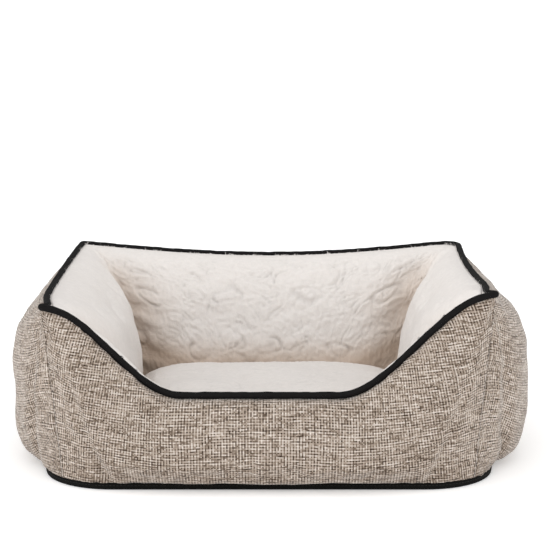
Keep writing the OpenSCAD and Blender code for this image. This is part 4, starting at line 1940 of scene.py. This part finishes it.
@dataclass
class Zip:
    """Coil zip across the back of the cushion, with its slider and pull tab."""

    finishes: Finishes
    pitch: float = 0.00125
    wire_r: float = 0.00027
    turn_points: int = 12
    edge: float = 0.00016

    def build(self) -> None:
        """Makes the tapes, coils, stops, slider and pull tab."""
        for label in ("upper", "lower"):
            self.tape(label)
            self.coil(label)
        self.softened("zip_end_stops", "zip_stops", CUSHION)
        self.softened("zip_slider", "zip_slider_body", "slider")
        self.softened("zip_pull_tab", "zip_puller", "pull_tab")

    def tape(self, label: str) -> None:
        """One woven tape.

        Args:
            label: upper or lower.
        """
        low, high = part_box(f"zip_tape_{label}")
        x, z = np.meshgrid(np.linspace(low.x, high.x, 141), np.linspace(low.z, high.z, 7))
        y = low.y + 0.0001 * ripple(2, x, z, 0.03)
        piece = cloth_grid(f"zip_{label}_tape", np.stack([x, y, z], axis=-1)[:, ::-1],
                           np.stack([x, z], axis=-1)[:, ::-1])
        thicken(piece, high.y - low.y, outward=True)
        dress(piece, self.finishes.tape, CUSHION, "zip_tape", f"zip_tape_{label}")

    def coil(self, label: str) -> None:
        """One spiral of nylon teeth.

        Args:
            label: upper or lower.
        """
        low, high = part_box(f"zip_coil_{label}")
        y, z = (low.y + high.y) / 2, (low.z + high.z) / 2
        r = (high.z - low.z) / 2 - self.wire_r
        turns = (high.x - low.x - 2 * self.wire_r) / self.pitch
        a = np.linspace(0, 2 * np.pi * turns, int(turns * self.turn_points))
        x = low.x + self.wire_r + a / (2 * np.pi) * self.pitch
        spoke = np.stack([0 * a, np.cos(a), np.sin(a)], axis=1)
        path = spoke * r + np.stack([x, 0 * a + y, 0 * a + z], axis=1)
        along = np.broadcast_to([1.0, 0, 0], path.shape)
        places, cloth = sweep(path, along, spoke, oval(self.wire_r, self.wire_r, 6))
        piece = cloth_grid(f"zip_{label}_coil", places[::-1], cloth[::-1], closed=True)
        dress(piece, self.finishes.coil, CUSHION, "zip_coil", f"zip_coil_{label}")

    def softened(self, node: str, name: str, body: str) -> None:
        """A metal part with its edges eased.

        Args:
            node: name of the CAD node.
            name: name of the new piece.
            body: the body that it rides on.
        """
        bm = copied(node)
        bmesh.ops.dissolve_limit(bm, angle_limit=math.radians(2), verts=bm.verts, edges=bm.edges)
        piece = finish_mesh(bm, name)
        piece.data.shade_flat()
        ease = piece.modifiers.new("edges", "BEVEL")
        ease.width = self.edge
        ease.segments = 2
        ease.limit_method = "ANGLE"
        ease.angle_limit = math.radians(40)
        dress(piece, self.finishes.metal, body, "zip_metal", node)


# --------------------------------------------------------------------------- studio


@dataclass
class Studio:
    """Camera, lights, floor and plain light all round."""

    camera_at: tuple[float, float, float] = (0.0113, -2.1359, 0.6021)
    pitch: float = 10.25
    lens: float = 107.9
    sensor: float = 36.0
    ambient: float = 0.6
    floor_half: float = 60.0
    floor_tone: float = 0.96
    floor_glow: float = 0.25
    suns: tuple[tuple[str, tuple[float, float, float], float, float], ...] = (
        ("overhead", (-0.15, -0.65, 1.0), 1.45, 100),
        ("left_side", (-1.0, -0.25, 0.1), 1.25, 30),
        ("right_side", (1.0, -0.25, 0.1), 1.1, 30))

    def camera(self) -> None:
        """Stands the camera in front of the bed, a little above it."""
        data = bpy.data.cameras.new("camera")
        data.sensor_width = self.sensor
        data.lens = self.lens
        camera = bpy.data.objects.new("camera", data)
        camera.location = self.camera_at
        camera.rotation_euler = (math.radians(90 - self.pitch), 0, 0)
        bpy.context.scene.collection.objects.link(camera)
        bpy.context.scene.camera = camera

    def sun(self, name: str, towards: tuple[float, float, float], strength: float,
            spread: float) -> None:
        """Adds a broad even light.

        Args:
            name: the light's name.
            towards: where it comes from, as seen from the bed.
            strength: its strength.
            spread: how wide it is in degrees, which sets how soft its shadows are.
        """
        data = bpy.data.lights.new(name, "SUN")
        data.energy = strength
        data.angle = math.radians(spread)
        lamp = bpy.data.objects.new(name, data)
        lamp.rotation_euler = Vector(towards).to_track_quat("Z", "Y").to_euler()
        bpy.context.scene.collection.objects.link(lamp)

    def room(self) -> None:
        """Lays the floor and fills the room with even light."""
        bm = bmesh.new()
        bmesh.ops.create_grid(bm, x_segments=1, y_segments=1, size=self.floor_half)
        floor = finish_mesh(bm, "floor")
        white = Dye("white_floor", Roughness=0.9, Base_Color=(*[self.floor_tone] * 3, 1.0),
                    Emission_Color=(1.0, 1.0, 1.0, 1.0), Emission_Strength=self.floor_glow)
        floor.data.materials.append(white.material)
        world = bpy.data.worlds.new("studio")
        world.use_nodes = True
        tree = world.node_tree
        sky = tree.nodes["Background"]
        sky.inputs["Color"].default_value = (1, 1, 1, 1)
        seen = tree.nodes.new("ShaderNodeLightPath").outputs["Is Camera Ray"]
        strength = Wire(tree, seen) * (1.0 - self.ambient) + self.ambient
        tree.links.new(strength.socket, sky.inputs["Strength"])
        bpy.context.scene.world = world
        for lamp in self.suns:
            self.sun(*lamp)
        bpy.context.scene.view_settings.view_transform = "Standard"


def main() -> None:
    """Builds the bed and its studio."""
    logging.basicConfig(level=logging.INFO, format="%(message)s")
    studio = Studio()
    studio.camera()
    form = BedForm.from_frame()
    finishes = Finishes()
    air = Inflation()
    Walls(form, finishes).build(air)
    RimPiping(form, finishes).build()
    Base(finishes).build()
    Cushion(finishes).build(air)
    Zip(finishes).build()
    air.run()
    studio.room()


if __name__ == "__main__":
    main()
